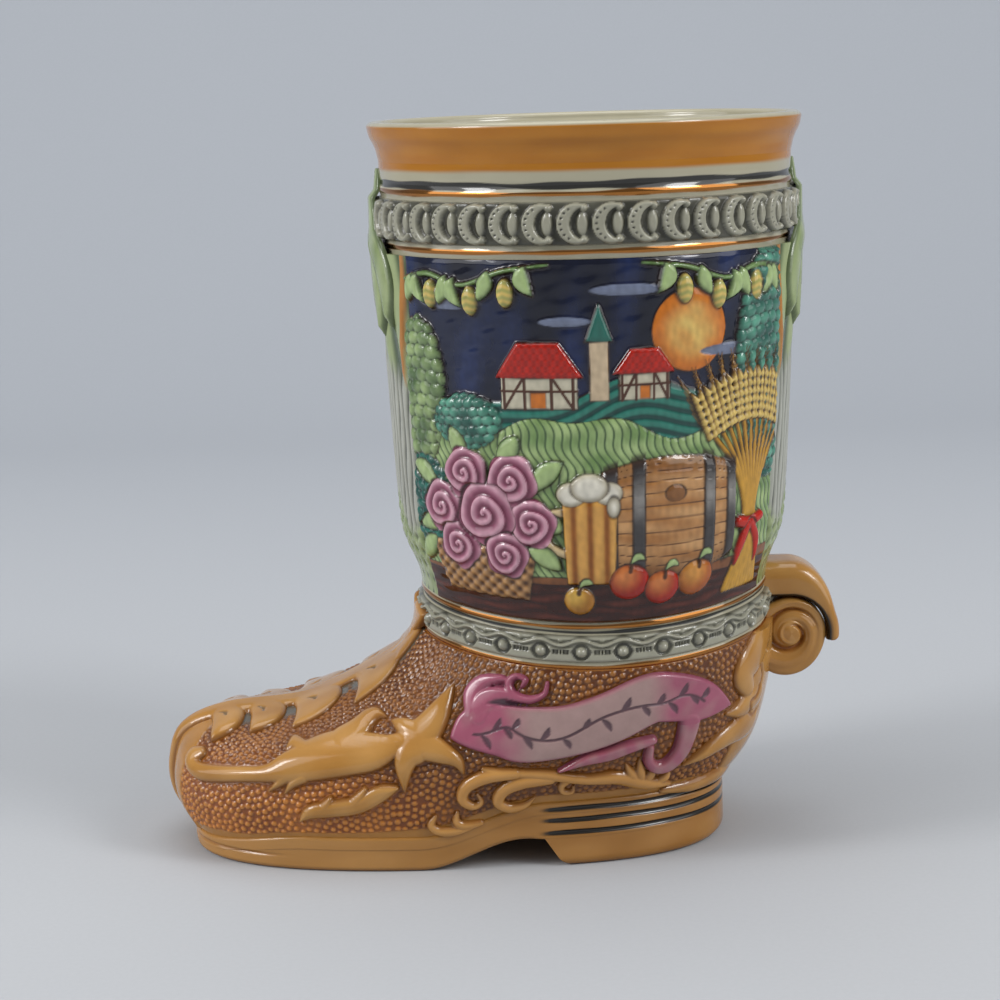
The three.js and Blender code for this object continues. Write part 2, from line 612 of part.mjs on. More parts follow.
const [LEFT, RIGHT] = [-90, 90];
const [SHIN, CALF] = [180, 0];
const pieces = [
  ["leg_shaft", legShaft(), CREAM],
  ["rim_lip", rimLip(), AMBER],
  ["collar_band", bandRing(COLLAR_LOW, COLLAR_HIGH, COLLAR_RELIEF), PEWTER],
  ["ankle_band", bandRing(BAND_LOW, BAND_HIGH, BAND_RELIEF), PEWTER],
  ["scene_panel_left", scenePanel(LEFT), COBALT],
  ["scene_panel_right", scenePanel(RIGHT), COBALT],
  ["shin_trunk", trunk(SHIN), MOSS],
  ["calf_trunk", trunk(CALF), MOSS],
  ["shin_leaf", hangingLeaf(SHIN), MOSS],
  ["calf_leaf", hangingLeaf(CALF), MOSS],
  ["foot_upper", footUpper(), BROWN],
  ["welt", welt(), TAN],
  ["sole", sole(), BROWN],
  ["heel", heel(), BROWN],
  ["toe_crest", toeCrest(), TAN],
  ["counter_leaf", counterLeaf(), TAN],
  ["spur_strap", spurStrap(), TAN],
  ["spur_volute", spurVolute(), TAN],
];
for (const [suffix, side] of [["left", -1], ["right", 1]]) {
  pieces.push(
    [`banner_${suffix}`, sideSprig(bannerShapes(), side), PINK],
    [`side_leaf_${suffix}`, sideSprig(sideLeafShapes(), side), TAN],
    [`frond_${suffix}`, sideSprig(frondShapes(), side), TAN],
    [`vine_${suffix}`, sideSprig(vineShapes(), side), TAN],
  );
}

// The origin is the middle of the whole stein's box, on the ground.
const box = new THREE.Box3();
for (const [, geometry] of pieces) {
  geometry.computeBoundingBox();
  box.union(geometry.boundingBox);
}
const middle = box.getCenter(new THREE.Vector3());
const stein = new THREE.Group();
for (const [name, geometry, colour] of pieces) {
  geometry.translate(-middle.x, -middle.y, -box.min.z);
  const mesh = new THREE.Mesh(geometry, new THREE.MeshStandardMaterial(colour));
  mesh.name = name;
  stein.add(mesh);
}

export default stein;
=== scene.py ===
import bpy
import numpy as np
from mathutils import Matrix, Vector, kdtree


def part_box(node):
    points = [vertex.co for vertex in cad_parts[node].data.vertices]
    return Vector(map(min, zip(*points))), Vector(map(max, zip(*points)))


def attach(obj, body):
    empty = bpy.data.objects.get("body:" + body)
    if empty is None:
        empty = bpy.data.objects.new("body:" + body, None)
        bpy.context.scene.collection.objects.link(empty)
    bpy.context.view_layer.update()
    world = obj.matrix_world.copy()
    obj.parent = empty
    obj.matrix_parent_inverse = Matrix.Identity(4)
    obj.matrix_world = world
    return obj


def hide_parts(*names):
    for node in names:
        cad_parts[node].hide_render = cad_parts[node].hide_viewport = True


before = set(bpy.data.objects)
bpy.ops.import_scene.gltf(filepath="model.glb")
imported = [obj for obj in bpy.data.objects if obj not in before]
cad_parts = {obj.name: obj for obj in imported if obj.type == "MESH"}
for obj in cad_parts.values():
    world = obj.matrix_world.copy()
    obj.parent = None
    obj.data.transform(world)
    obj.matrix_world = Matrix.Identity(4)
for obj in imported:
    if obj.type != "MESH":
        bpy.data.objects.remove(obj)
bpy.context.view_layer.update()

# The studio: a seamless sheet of pale paper runs from the floor up into a blue-grey backdrop. The camera
# stands a little above the rim and towards the toe. A lamp before a wide diffuser lights each side, and a
# third diffuser hangs overhead.


def paint_hex(code):
    """sRGB hex to linear light, by the sRGB curve."""
    srgb = np.array([int(code[i:i + 2], 16) for i in (1, 3, 5)]) / 255
    return np.where(srgb <= 0.04045, srgb / 12.92, ((srgb + 0.055) / 1.055) ** 2.4)


def paints(codes):
    """Linear colours of several hex codes in one text."""
    return [paint_hex(code) for code in codes.split()]


def node(tree, kind, settings=(), sockets=(), links=()):
    """Add one shader node, set its properties and inputs by name, and link outputs into its inputs."""
    made = tree.nodes.new(kind)
    for key, value in dict(settings).items():
        setattr(made, key, value)
    for key, value in dict(sockets).items():
        made.inputs[key].default_value = value
    for key, (source, output) in dict(links).items():
        tree.links.new(source.outputs[output], made.inputs[key])
    return made


def bare_material(name):
    """A new node material with an empty tree, and that tree."""
    material = bpy.data.materials.new(name)
    material.use_nodes = True
    material.node_tree.nodes.clear()
    return material, material.node_tree


def rgba(code):
    """An opaque colour for a socket, from its hex code."""
    return (*paint_hex(code), 1.0)


SWEEP_HALF_WIDTH = 1.6
SWEEP_FRONT, SWEEP_BEND, SWEEP_RADIUS, SWEEP_TOP = -1.4, 0.55, 0.5, 1.6
arc = np.radians(np.linspace(0, 90, 25))
sweep_y = np.concatenate([[SWEEP_FRONT], SWEEP_BEND + SWEEP_RADIUS * np.sin(arc),
                          [SWEEP_BEND + SWEEP_RADIUS]])
sweep_z = np.concatenate([[0.0], SWEEP_RADIUS * (1 - np.cos(arc)), [SWEEP_TOP]])
sweep_x = np.array([-SWEEP_HALF_WIDTH, SWEEP_HALF_WIDTH])
sweep_points = np.stack([np.tile(sweep_x, len(sweep_y)), np.repeat(sweep_y, 2), np.repeat(sweep_z, 2)], 1)
sweep_start = 2 * np.arange(len(sweep_y) - 1)
sweep_faces = np.stack([sweep_start, sweep_start + 1, sweep_start + 3, sweep_start + 2], 1)
sweep_mesh = bpy.data.meshes.new("paper_sweep")
sweep_mesh.from_pydata(sweep_points.tolist(), [], sweep_faces.tolist())
sweep_mesh.shade_smooth()
sweep = bpy.data.objects.new("paper_sweep", sweep_mesh)
bpy.context.collection.objects.link(sweep)

# Matt studio paper: no gloss, faint fibre mottling, paler on the floor than up the backdrop.
# A mix node has its own sockets for each kind of data, and those for colours are reached by number.
MIX_FIRST, MIX_SECOND, MIX_RESULT = 6, 7, 2
paper, tree = bare_material("studio_paper")
place = node(tree, "ShaderNodeTexCoord")
depth = node(tree, "ShaderNodeSeparateXYZ", links={"Vector": (place, "Object")})
fade = node(tree, "ShaderNodeMapRange", settings={"interpolation_type": "SMOOTHSTEP"},
            sockets={"From Min": -0.2, "From Max": 0.75}, links={"Value": (depth, "Y")})
shade = node(tree, "ShaderNodeMix", settings={"data_type": "RGBA"}, links={"Factor": (fade, "Result")})
shade.inputs[MIX_FIRST].default_value = rgba("#b0b2b5")
shade.inputs[MIX_SECOND].default_value = rgba("#abafb5")
fibre = node(tree, "ShaderNodeTexNoise", sockets={"Scale": 900.0, "Detail": 3.0},
             links={"Vector": (place, "Object")})
grain = node(tree, "ShaderNodeMapRange", sockets={"To Min": 0.97, "To Max": 1.03},
             links={"Value": (fibre, "Fac")})
tint = node(tree, "ShaderNodeVectorMath", settings={"operation": "SCALE"},
            links={"Scale": (grain, "Result")})
tree.links.new(shade.outputs[MIX_RESULT], tint.inputs[0])
sheet = node(tree, "ShaderNodeBsdfPrincipled", sockets={"Roughness": 0.9, "Specular IOR Level": 0.1},
             links={"Base Color": (tint, "Vector")})
node(tree, "ShaderNodeOutputMaterial", links={"Surface": (sheet, "BSDF")})
sweep_mesh.materials.append(paper)

MM = 0.001


def in_mm(box):
    """The corners of a box in metres, as arrays in mm."""
    return [np.array(corner) / MM for corner in box]


rim_low, rim_high = in_mm(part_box("rim_lip"))
LEG_AXIS = (rim_low[0] + rim_high[0]) / 2
LENS_PIXELS, FRAME_PIXELS, SENSOR_MM = 2400, 1000, 36
CAMERA_PITCH, CAMERA_ROLL = 10.25, -1.7
CAMERA_BACK, CAMERA_HEIGHT, CAMERA_TO_TOE = 504.1, 162.6, 19.55
lens = bpy.data.cameras.new("photo_lens")
lens.sensor_width = SENSOR_MM
lens.lens = LENS_PIXELS / FRAME_PIXELS * SENSOR_MM
lens.clip_start = 0.01
camera = bpy.data.objects.new("photo_camera", lens)
bpy.context.collection.objects.link(camera)
stand = Matrix.Translation(np.array([LEG_AXIS - CAMERA_TO_TOE, -CAMERA_BACK, CAMERA_HEIGHT]) * MM)
pitch = Matrix.Rotation(np.radians(90 - CAMERA_PITCH), 4, "X")
roll = Matrix.Rotation(np.radians(CAMERA_ROLL), 4, "Z")
camera.matrix_world = stand @ (pitch @ roll)
bpy.context.scene.camera = camera
bpy.context.scene.view_settings.view_transform = "Standard"


def softbox(name, place, target, size, watts):
    """A rectangular area lamp at a place, facing a target, in metres."""
    lamp = bpy.data.lights.new(name, "AREA")
    lamp.shape = "RECTANGLE"
    lamp.size, lamp.size_y = size
    lamp.energy = watts
    holder = bpy.data.objects.new(name, lamp)
    bpy.context.collection.objects.link(holder)
    holder.location = place
    holder.rotation_euler = (Vector(target) - Vector(place)).to_track_quat("-Z", "Y").to_euler()


LEFT_AIM, RIGHT_AIM, TOP_AIM = (0.0, 0.0, 0.08), (0.02, 0.0, 0.08), (0.0, 0.0, 0.05)
LAMP_SIZE, DIFFUSER_SIZE, TOP_SIZE = (0.35, 0.45), (1.2, 1.1), (1.0, 1.0)
softbox("left_lamp", (-1.03, -0.4, 0.85), LEFT_AIM, LAMP_SIZE, 6.0)
softbox("right_lamp", (0.95, -0.56, 0.9), RIGHT_AIM, LAMP_SIZE, 6.0)
softbox("left_softbox", (-1.1, -0.35, 0.65), LEFT_AIM, DIFFUSER_SIZE, 7.5)
softbox("right_softbox", (1.04, -0.5, 0.65), RIGHT_AIM, DIFFUSER_SIZE, 7.0)
softbox("top_softbox", (0.0, 0.15, 1.3), TOP_AIM, TOP_SIZE, 7.0)
world = bpy.data.worlds.new("studio_air")
world.use_nodes = True
air = world.node_tree.nodes["Background"]
air.inputs["Color"].default_value = rgba("#c8ccd2")
air.inputs["Strength"].default_value = 0.42
bpy.context.scene.world = world

# The foot's upper: a hollow slip-cast shell of stoneware, pressed all over with small round beads and
# washed with brown under a clear glaze. Each side is made in a toe half and a quarter half, which meet
# without a seam that shows.
_, foot_high = in_mm(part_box("foot_upper"))
sole_low, sole_high = in_mm(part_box("sole"))
ANKLE_HEIGHT = foot_high[2]
ANKLE_RADIUS = 36.8
WALL = 4.2
TOE_REACH = LEG_AXIS - sole_low[0]
HEEL_REACH = sole_high[0] - LEG_AXIS
SOLE_HALF_WIDTH = sole_high[1]
SOLE_SQUARENESS = 2.6
TOE_THICKNESS, BALL_THICKNESS, HEEL_THICKNESS, BALL_SHARE = 4.0, 7.0, 13.5, 0.7
HEEL_BREAST, ARCH_LENGTH = -12.0, 26.0
CHEEK_SWELL, ANKLE_LEAD, ANKLE_SWEEP, SWEEP_START = 2.2, 0.12, 2.6, 0.9


def smooth(value, low, high):
    """Smoothstep from 0 at low to 1 at high."""
    t = np.clip((value - low) / (high - low), 0, 1)
    return t * t * (3 - 2 * t)


outline_angle = np.linspace(0, np.pi, 1441)


def squared(value):
    """A sine or cosine drawn out to the fuller corners of the sole's outline."""
    return np.sign(value) * np.abs(value) ** (2 / SOLE_SQUARENESS)


outline_x = (HEEL_REACH - TOE_REACH) / 2 + (HEEL_REACH + TOE_REACH) / 2 * squared(np.cos(outline_angle))
outline_y = SOLE_HALF_WIDTH * squared(np.sin(outline_angle))
outline_walk = np.concatenate([[0], np.cumsum(np.hypot(np.diff(outline_x), np.diff(outline_y)))])
HALF_GIRTH = outline_walk[-1]


def sole_outline(stride):
    """The squared ellipse of the sole by its length: stride 0 is the heel, 1 the toe, 2 the heel again."""
    half = np.where(stride <= 1, stride, 2 - stride) * HALF_GIRTH
    side = np.where(stride <= 1, 1.0, -1.0)
    return np.interp(half, outline_walk, outline_x), side * np.interp(half, outline_walk, outline_y)


def feather_height(x):
    """Height of the line where upper meets welt: low at the toe, high over the heel."""
    rise = smooth(x, -TOE_REACH, -BALL_SHARE * TOE_REACH)
    ball = TOE_THICKNESS + (BALL_THICKNESS - TOE_THICKNESS) * rise
    return ball + (HEEL_THICKNESS - ball) * smooth(x, HEEL_BREAST - ARCH_LENGTH, HEEL_BREAST)


# Profiles of the upper at four stations, heel to toe: shares of the way across and up to the ankle.
STATIONS = np.array([0.0, 0.33, 0.62, 1.0])
PROFILES = np.array([
    [[0, 0], [0.26, 0.1], [0.48, 0.21], [0.64, 0.33], [0.77, 0.48], [0.87, 0.64], [0.95, 0.82], [1, 1]],
    [[0, 0], [0.2, 0.14], [0.38, 0.28], [0.53, 0.42], [0.67, 0.56], [0.79, 0.7], [0.9, 0.85], [1, 1]],
    [[0, 0], [-0.05, 0.145], [-0.05, 0.28], [0.01, 0.39], [0.12, 0.485], [0.35, 0.58], [0.7, 0.77], [1, 1]],
    [[0, 0], [-0.075, 0.17], [-0.083, 0.335], [-0.03, 0.5], [0.15, 0.6], [0.5, 0.668], [0.79, 0.832], [1, 1]],
])


def spline(knots, t):
    """Catmull-Rom through evenly spaced knots, for t from 0 to 1; knots may have any trailing shape."""
    place = np.clip(t, 0, 1) * (len(knots) - 1)
    at = np.minimum(place.astype(int), len(knots) - 2)
    w = (place - at).reshape(place.shape + (1,) * (knots.ndim - 1))
    a, b = knots[np.maximum(at - 1, 0)], knots[at]
    c, d = knots[at + 1], knots[np.minimum(at + 2, len(knots) - 1)]
    p, q = (c - a) / 2, (d - b) / 2
    return b + w * (p + w * (3 * (c - b) - 2 * p - q + w * (2 * (b - c) + p + q)))


def upper(stride, rise):
    """A point of the upper: from the sole's outline to the ankle's circle, by the blended profiles.

    Profiles ease into each other, but along the vamp's middle the two sides meet in a ridge. The top edge
    sweeps up at the instep and at the heel.
    """
    half = np.where(stride <= 1, stride, 2 - stride)
    after = np.clip(np.searchsorted(STATIONS, half), 1, len(STATIONS) - 1)
    share = (half - STATIONS[after - 1]) / (STATIONS[after] - STATIONS[after - 1])
    blend = np.where(STATIONS[after] < 1, smooth(share, 0, 1), share ** 2)[..., None]
    every = spline(PROFILES.transpose(1, 0, 2), rise)
    pick = np.take_along_axis
    before = pick(every, (after - 1)[..., None, None], -2)[..., 0, :]
    shape = before + blend * (pick(every, after[..., None, None], -2)[..., 0, :] - before)
    x, y = sole_outline(stride)
    turn = np.pi * (stride + ANKLE_LEAD * np.sin(np.pi * stride))
    across, up = shape[..., 0], shape[..., 1]
    swell = CHEEK_SWELL * 4 * rise * (1 - rise) * np.sin(np.pi * stride)
    low = feather_height(x)
    sweep = ANKLE_SWEEP * np.cos(turn) ** 2 * smooth(rise, SWEEP_START, 1.0)
    return np.stack([x + across * (ANKLE_RADIUS * np.cos(turn) - x),
                     y + across * (ANKLE_RADIUS * np.sin(turn) - y) + swell,
                     low + up * (ANKLE_HEIGHT - low) + sweep], -1)


def upper_normal(stride, rise):
    """Outward unit normal of the upper, from differences along stride and rise."""
    step = 1e-3
    along = upper((stride + step) % 2, rise) - upper((stride - step) % 2, rise)
    climb = upper(stride % 2, np.minimum(rise + step, 1)) - upper(stride % 2, np.maximum(rise - step, 0))
    normal = np.cross(along, climb)
    return normal / np.linalg.norm(normal, axis=-1, keepdims=True)


def tile_faces(rows, columns, coarse):
    """A closed tile: a fine front sheet, a back sheet of every coarse-th point, and a wall that zips them.

    Points are numbered row by row, the front first. Columns run to the right seen from the front.
    """
    front = np.arange(rows * columns).reshape(rows, columns)
    back_shape = ((rows - 1) // coarse + 1, (columns - 1) // coarse + 1)
    back = rows * columns + np.arange(back_shape[0] * back_shape[1]).reshape(back_shape)

    def quads(s):
        """The cells of a sheet."""
        return np.stack([s[:-1, :-1], s[:-1, 1:], s[1:, 1:], s[1:, :-1]], -1).reshape(-1, 4)

    def border(s):
        """The points round the edge of a sheet, once round."""
        return np.concatenate([s[0, :-1], s[:-1, -1], s[-1, :0:-1], s[:0:-1, 0]])

    fine, rough = border(front), border(back)
    k = np.arange(len(fine))
    apex = rough[((k + coarse // 2) // coarse) % len(rough)]
    fans = np.stack([apex, np.roll(fine, -1), fine], 1)
    i = np.arange(len(rough))
    gaps = np.stack([rough, np.roll(rough, -1), fine[i * coarse + coarse // 2]], 1)
    return np.concatenate([quads(front), quads(back)[:, ::-1]]), np.concatenate([fans, gaps])


SHARP_DEGREES = 75
NO_TRIANGLES = np.zeros((0, 3), int)


def clay_piece(name, points, faces, colour, coat, nodes, mirrored=False, gilt=0.0):
    """A mesh object at the origin from points in mm about the leg's axis, painted point by point.

    Faces are quads and triangles, a coat is a material and a slot name (the slot name is not used), gilt is
    the share of gold lustre.
    A mirrored piece is reflected to the boot's other side and its faces are turned back outwards.
    """
    quads, triangles = faces
    material, slot = coat
    points = np.asarray(points, float).reshape(-1, 3) * ([1, -1, 1] if mirrored else [1, 1, 1])
    mesh = bpy.data.meshes.new(f"{name}_ware")
    mesh.vertices.add(len(points))
    mesh.vertices.foreach_set("co", ((points + [LEG_AXIS, 0, 0]) * MM).ravel())
    if mirrored:
        quads, triangles = quads[:, ::-1], triangles[:, ::-1]
    corners = np.concatenate([quads.ravel(), triangles.ravel()]).astype(np.int32)
    starts = np.concatenate([4 * np.arange(len(quads)), quads.size + 3 * np.arange(len(triangles))])
    mesh.loops.add(len(corners))
    mesh.loops.foreach_set("vertex_index", corners)
    mesh.polygons.add(len(starts))
    mesh.polygons.foreach_set("loop_start", starts.astype(np.int32))
    mesh.update(calc_edges=True)
    mesh.shade_smooth()
    mesh.set_sharp_from_angle(angle=np.radians(SHARP_DEGREES))
    paint = np.empty((len(points), 4), np.float32)
    paint[:, :3] = np.reshape(colour, (-1, 3))
    paint[:, 3] = np.ravel(gilt)
    layer = mesh.attributes.new("paint", "FLOAT_COLOR", "POINT")
    layer.data.foreach_set("color", paint.ravel())
    mesh.materials.append(material)
    piece = bpy.data.objects.new(f"{name}_ware", mesh)
    bpy.context.collection.objects.link(piece)
    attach(piece, "root")
    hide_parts(*nodes)


def clay_tile(name, front, back, colour, under, coarse, coat, nodes, mirrored=False):
    """A closed tile with a painted front, and a back of every coarse-th point in one colour."""
    back = back[::coarse, ::coarse].reshape(-1, 3)
    points = np.concatenate([front.reshape(-1, 3), back])
    paint = np.concatenate([colour.reshape(-1, 3), np.broadcast_to(under, back.shape)])
    clay_piece(name, points, tile_faces(*front.shape[:2], coarse), paint, coat, nodes, mirrored)


def dome(distance, radius):
    """Height of a half circle of unit height: 1 at its middle, 0 at its radius and beyond."""
    return np.sqrt(np.clip(1 - (distance / radius) ** 2, 0, 1))


def rounded_edge(depth, radius):
    """Height of a quarter circle: 0 at an outline, 1 from its radius inwards."""
    return np.sqrt(1 - (1 - np.clip(depth / radius, 0, 1)) ** 2)


def mix(first, second, share):
    """Blend two colours (or arrays of them) by a share per point."""
    share = np.asarray(share)[..., None]
    return first + (second - first) * share


def dab(a, b, size, seed):
    """Smooth uneven brushwork between 0 and 1: four crossed sine waves of about one size in mm."""
    k = 2 * np.pi / size
    wave = sum(np.sin(k * (a * np.cos(t + seed) + b * np.sin(t + seed)) * f + seed * n)
               for n, (t, f) in enumerate([(0.3, 1.0), (1.4, 1.27), (2.5, 0.81), (3.9, 1.61)], 1))
    return np.clip(0.5 + wave / 5, 0, 1)


GLAZE_IOR, PEEL_MM, PEEL_DEPTH, SHEEN_LOW, SHEEN_HIGH = 1.52, 2.2, 0.0002, 0.75, 1.35


def glazed(name, mottle_mm, mottle, roughness, ripple):
    """Painted stoneware under clear glaze: colour and gilding from the piece's paint, uneven by brush.

    Colour varies by the share of mottle, in clouds of about mottle_mm. Ripple is the glaze's orange peel.
    """
    material, tree = bare_material(name)
    coat = node(tree, "ShaderNodeAttribute", settings={"attribute_name": "paint"})
    place = node(tree, "ShaderNodeTexCoord")
    cloud = node(tree, "ShaderNodeTexNoise", links={"Vector": (place, "Object")},
                 sockets={"Scale": 1 / MM / mottle_mm, "Detail": 4.0, "Roughness": 0.6})

    def clouded(low, high):
        """A value that follows the clouds from low to high."""
        return node(tree, "ShaderNodeMapRange", links={"Value": (cloud, "Fac")},
                    sockets={"From Min": 0.3, "From Max": 0.7, "To Min": low, "To Max": high})

    strength = clouded(1 - mottle, 1 + mottle)
    colour = node(tree, "ShaderNodeVectorMath", settings={"operation": "SCALE"},
                  links={"Scale": (strength, "Result")})
    tree.links.new(coat.outputs["Color"], colour.inputs[0])
    sheen = clouded(SHEEN_LOW * roughness, SHEEN_HIGH * roughness)
    peel = node(tree, "ShaderNodeTexNoise", sockets={"Scale": 1 / MM / PEEL_MM, "Detail": 2.0},
                links={"Vector": (place, "Object")})
    bump = node(tree, "ShaderNodeBump", sockets={"Strength": ripple, "Distance": PEEL_DEPTH},
                links={"Height": (peel, "Fac")})
    body = node(tree, "ShaderNodeBsdfPrincipled", sockets={"IOR": GLAZE_IOR},
                links={"Base Color": (colour, "Vector"), "Roughness": (sheen, "Result"),
                       "Normal": (bump, "Normal"), "Metallic": (coat, "Alpha")})
    node(tree, "ShaderNodeOutputMaterial", links={"Surface": (body, "BSDF")})
    return material


FAR, RELIEF_MARGIN, THINNEST = 9.0, 2.0, 0.05


def stroke(knots, half_widths, samples=28):
    """A modelled stroke: points of a smooth path through its knots, and a half width at each of them."""
    t = np.linspace(0, 1, samples)
    widths = spline(np.array(half_widths, float)[:, None], t)[:, 0]
    return spline(np.array(knots, float), t), np.maximum(widths, THINNEST)


def relief(a, b, strokes, height, edge=0.0):
    """How far points lie inside a set of strokes, in mm (negative outside), and the height of its moulding.

    A stroke is a chain of tapered segments with a round section. With an edge it is flat-topped instead
    and rounds off within that distance of its outline.
    """
    points = np.stack([np.ravel(a), np.ravel(b)], 1)
    depth = np.full(len(points), -FAR)
    top = np.zeros(len(points))
    for path, width in strokes:
        reach = width.max() + RELIEF_MARGIN
        box = np.all((points > path.min(0) - reach) & (points < path.max(0) + reach), axis=1)
        near = np.flatnonzero(box)
        step = path[1:] - path[:-1]
        away = points[near, None] - path[:-1]
        t = np.clip((away * step).sum(-1) / np.maximum((step ** 2).sum(-1), 1e-9), 0, 1)
        gap = np.linalg.norm(away - t[..., None] * step, axis=-1)
        wide = width[:-1] + t * (width[1:] - width[:-1])
        best = np.argmax(wide - gap, axis=1)[:, None]
        gap = np.take_along_axis(gap, best, 1)[:, 0]
        wide = np.take_along_axis(wide, best, 1)[:, 0]
        arch = np.minimum(height, 0.95 * wide) * dome(gap, wide)
        depth[near] = np.maximum(depth[near], wide - gap)
        top[near] = np.maximum(top[near], arch)
    if edge:
        top = height * rounded_edge(depth, edge)
    return depth.reshape(np.shape(a)), top.reshape(np.shape(a))


# Where the applied ornament lies, so that the beads stop at it. Side ornament is drawn in the side view
# (mm from the leg's axis, mm up), the crest seen from above, the counter leaf along the heel's edge.
SIDE_LEAF = [
    stroke([(-83.5, 22.2), (-85.2, 21.2), (-85.6, 19.7), (-83.8, 18.9), (-80.3, 19.2), (-74.5, 20),
            (-68.8, 20.7), (-64.2, 22), (-58.6, 23.5), (-52.2, 24.9), (-47.2, 25.4), (-42.7, 26.7)],
           [0.7, 1.2, 1.6, 1.7, 1.6, 1.5, 1.7, 2.8, 3.5, 3.8, 3.3, 1.9], 48),
    stroke([(-53.2, 26.3), (-50, 28.5), (-47.8, 30.7), (-45.9, 31.7), (-44.3, 31.4)],
           [2.6, 2.0, 1.3, 0.8, 0.3]),
    stroke([(-61, 25), (-63.5, 25.8), (-64.9, 25)], [1.4, 0.9, 0.3]),
    stroke([(-64.1, 20.9), (-66, 19.5), (-68.6, 17.4)], [1.4, 1.0, 0.3]),
    stroke([(-61.4, 20.6), (-63.7, 19.1), (-65.2, 17.2)], [1.4, 0.9, 0.3]),
    stroke([(-38.6, 26.8), (-35.4, 30.1), (-32.6, 33.8), (-30, 38.3)], [3.6, 2.8, 1.8, 0.2]),
    stroke([(-36.8, 28.5), (-40.4, 29.9), (-42.9, 30.8)], [2.8, 1.7, 0.3]),
    stroke([(-38.6, 27.2), (-40.5, 23.4), (-40.7, 17.8)], [3.3, 2.1, 0.3]),
    stroke([(-37.3, 27.6), (-33.3, 26), (-29.9, 24.2), (-28.6, 21.4)], [3.3, 2.4, 1.4, 0.3]),
    stroke([(-43.6, 27), (-41, 27.2)], [1.6, 1.9], 4),
]
FROND = [
    stroke([(-62.4, 11.3), (-60.2, 13.3), (-55.8, 14.1), (-50.3, 15), (-45.7, 17.4), (-42.3, 18.6)],
           [0.3, 1.5, 1.8, 1.9, 1.8, 0.6]),
    stroke([(-57.2, 14.2), (-56, 16.4)], [1.6, 0.6], 6),
    stroke([(-51, 15.2), (-48.8, 18.4)], [1.7, 0.6], 6),
]
BANNER_PATH = [
    (-31, 28.6), (-28.5, 29.5), (-25, 30.6), (-20, 30.3), (-16, 29.6), (-7.3, 30.4), (0.9, 32.8),
    (9.1, 36.2), (14, 36), (19, 34.6), (23, 33.1), (26.4, 31.8),
]
RIBBON = stroke(BANNER_PATH, [0.1, 2.2, 4.4, 5.4, 5.8, 5.4, 5.4, 5.3, 5.2, 4.6, 2.5, 0.1], 72)
BANNER_ENDS = [
    stroke([(-25, 33), (-23.4, 35.8), (-19.6, 37.2), (-15.4, 36.4)], [2.2, 2.4, 1.8, 0.4]),
    stroke([(-26.4, 33.4), (-26.3, 36.8), (-23.9, 39.5), (-20.4, 40.5), (-18.9, 40.3)],
           [1.5, 1.6, 1.4, 0.9, 0.4]),
    stroke([(-11.1, 40.3), (-11.8, 38), (-14.7, 36.8), (-17.6, 37.6), (-18.7, 39.8), (-17.2, 41.2),
            (-15.4, 40.7), (-16.1, 39.3)], [0.4, 0.6, 0.9, 0.9, 0.8, 0.7, 0.6, 0.4], 40),
    stroke([(17.5, 30.4), (16.8, 27), (15.5, 23.5), (13, 20.9), (10.5, 20.7), (9, 22.6), (9.3, 25.8)],
           [2.2, 2.0, 1.8, 1.6, 1.4, 1.2, 0.9], 40),
    stroke([(9.8, 27.3), (4.9, 26.3), (0.8, 25.1), (-3.9, 24.1), (-9.2, 21.8)], [1.0, 1.4, 1.5, 1.2, 0.4]),
]
VINE = [
    stroke([(-18, 21.3), (-23.8, 20.7), (-28, 18.6), (-29, 15.8), (-27, 14.1), (-25.2, 15), (-26, 16.7)],
           [1.2, 1.5, 1.4, 1.2, 0.9, 0.6, 0.3], 40),
    stroke([(-11, 19.9), (-16.9, 19.3), (-20.7, 17.5), (-21.7, 14.9), (-19.6, 13.4), (-16.4, 13.8),
            (-14.3, 15.5)], [1.2, 1.5, 1.4, 1.3, 1.1, 0.8, 0.3], 40),
    stroke([(-24.5, 22.3), (-18, 21.4), (-11, 20.7), (-4, 19.3), (2.5, 19.1), (7.9, 17.1), (13.4, 15.8)],
           [0.5, 0.9, 1.2, 1.1, 1.5, 1.6, 0.6], 48),
    stroke([(-2.8, 19.2), (-6.3, 19.8), (-8.7, 18.2), (-8.4, 16.5), (-6.6, 16.4), (-6.3, 17.7)],
           [0.9, 0.9, 0.8, 0.7, 0.5, 0.3]),
    stroke([(7.2, 17.2), (5.6, 19.6), (4.4, 22)], [0.8, 1.1, 0.2]),
    stroke([(7.6, 17.2), (7.4, 20), (7.3, 22.9)], [0.8, 1.1, 0.2]),
    stroke([(8.2, 17), (9.6, 19), (10.6, 20.2)], [0.8, 1.0, 0.2]),
    stroke([(10.5, 16.4), (12.6, 17.6), (13.6, 19)], [0.7, 0.9, 0.2]),
    stroke([(-34.6, 12), (-35.6, 10.2), (-34.2, 8.8), (-31.1, 8.6), (-26.6, 9.3)],
           [0.4, 0.9, 1.0, 1.1, 0.8]),
    stroke([(-30.1, 12.8), (-30.4, 10.8), (-28.8, 9.8), (-25.4, 10.2)], [0.4, 0.9, 1.0, 0.7]),
]
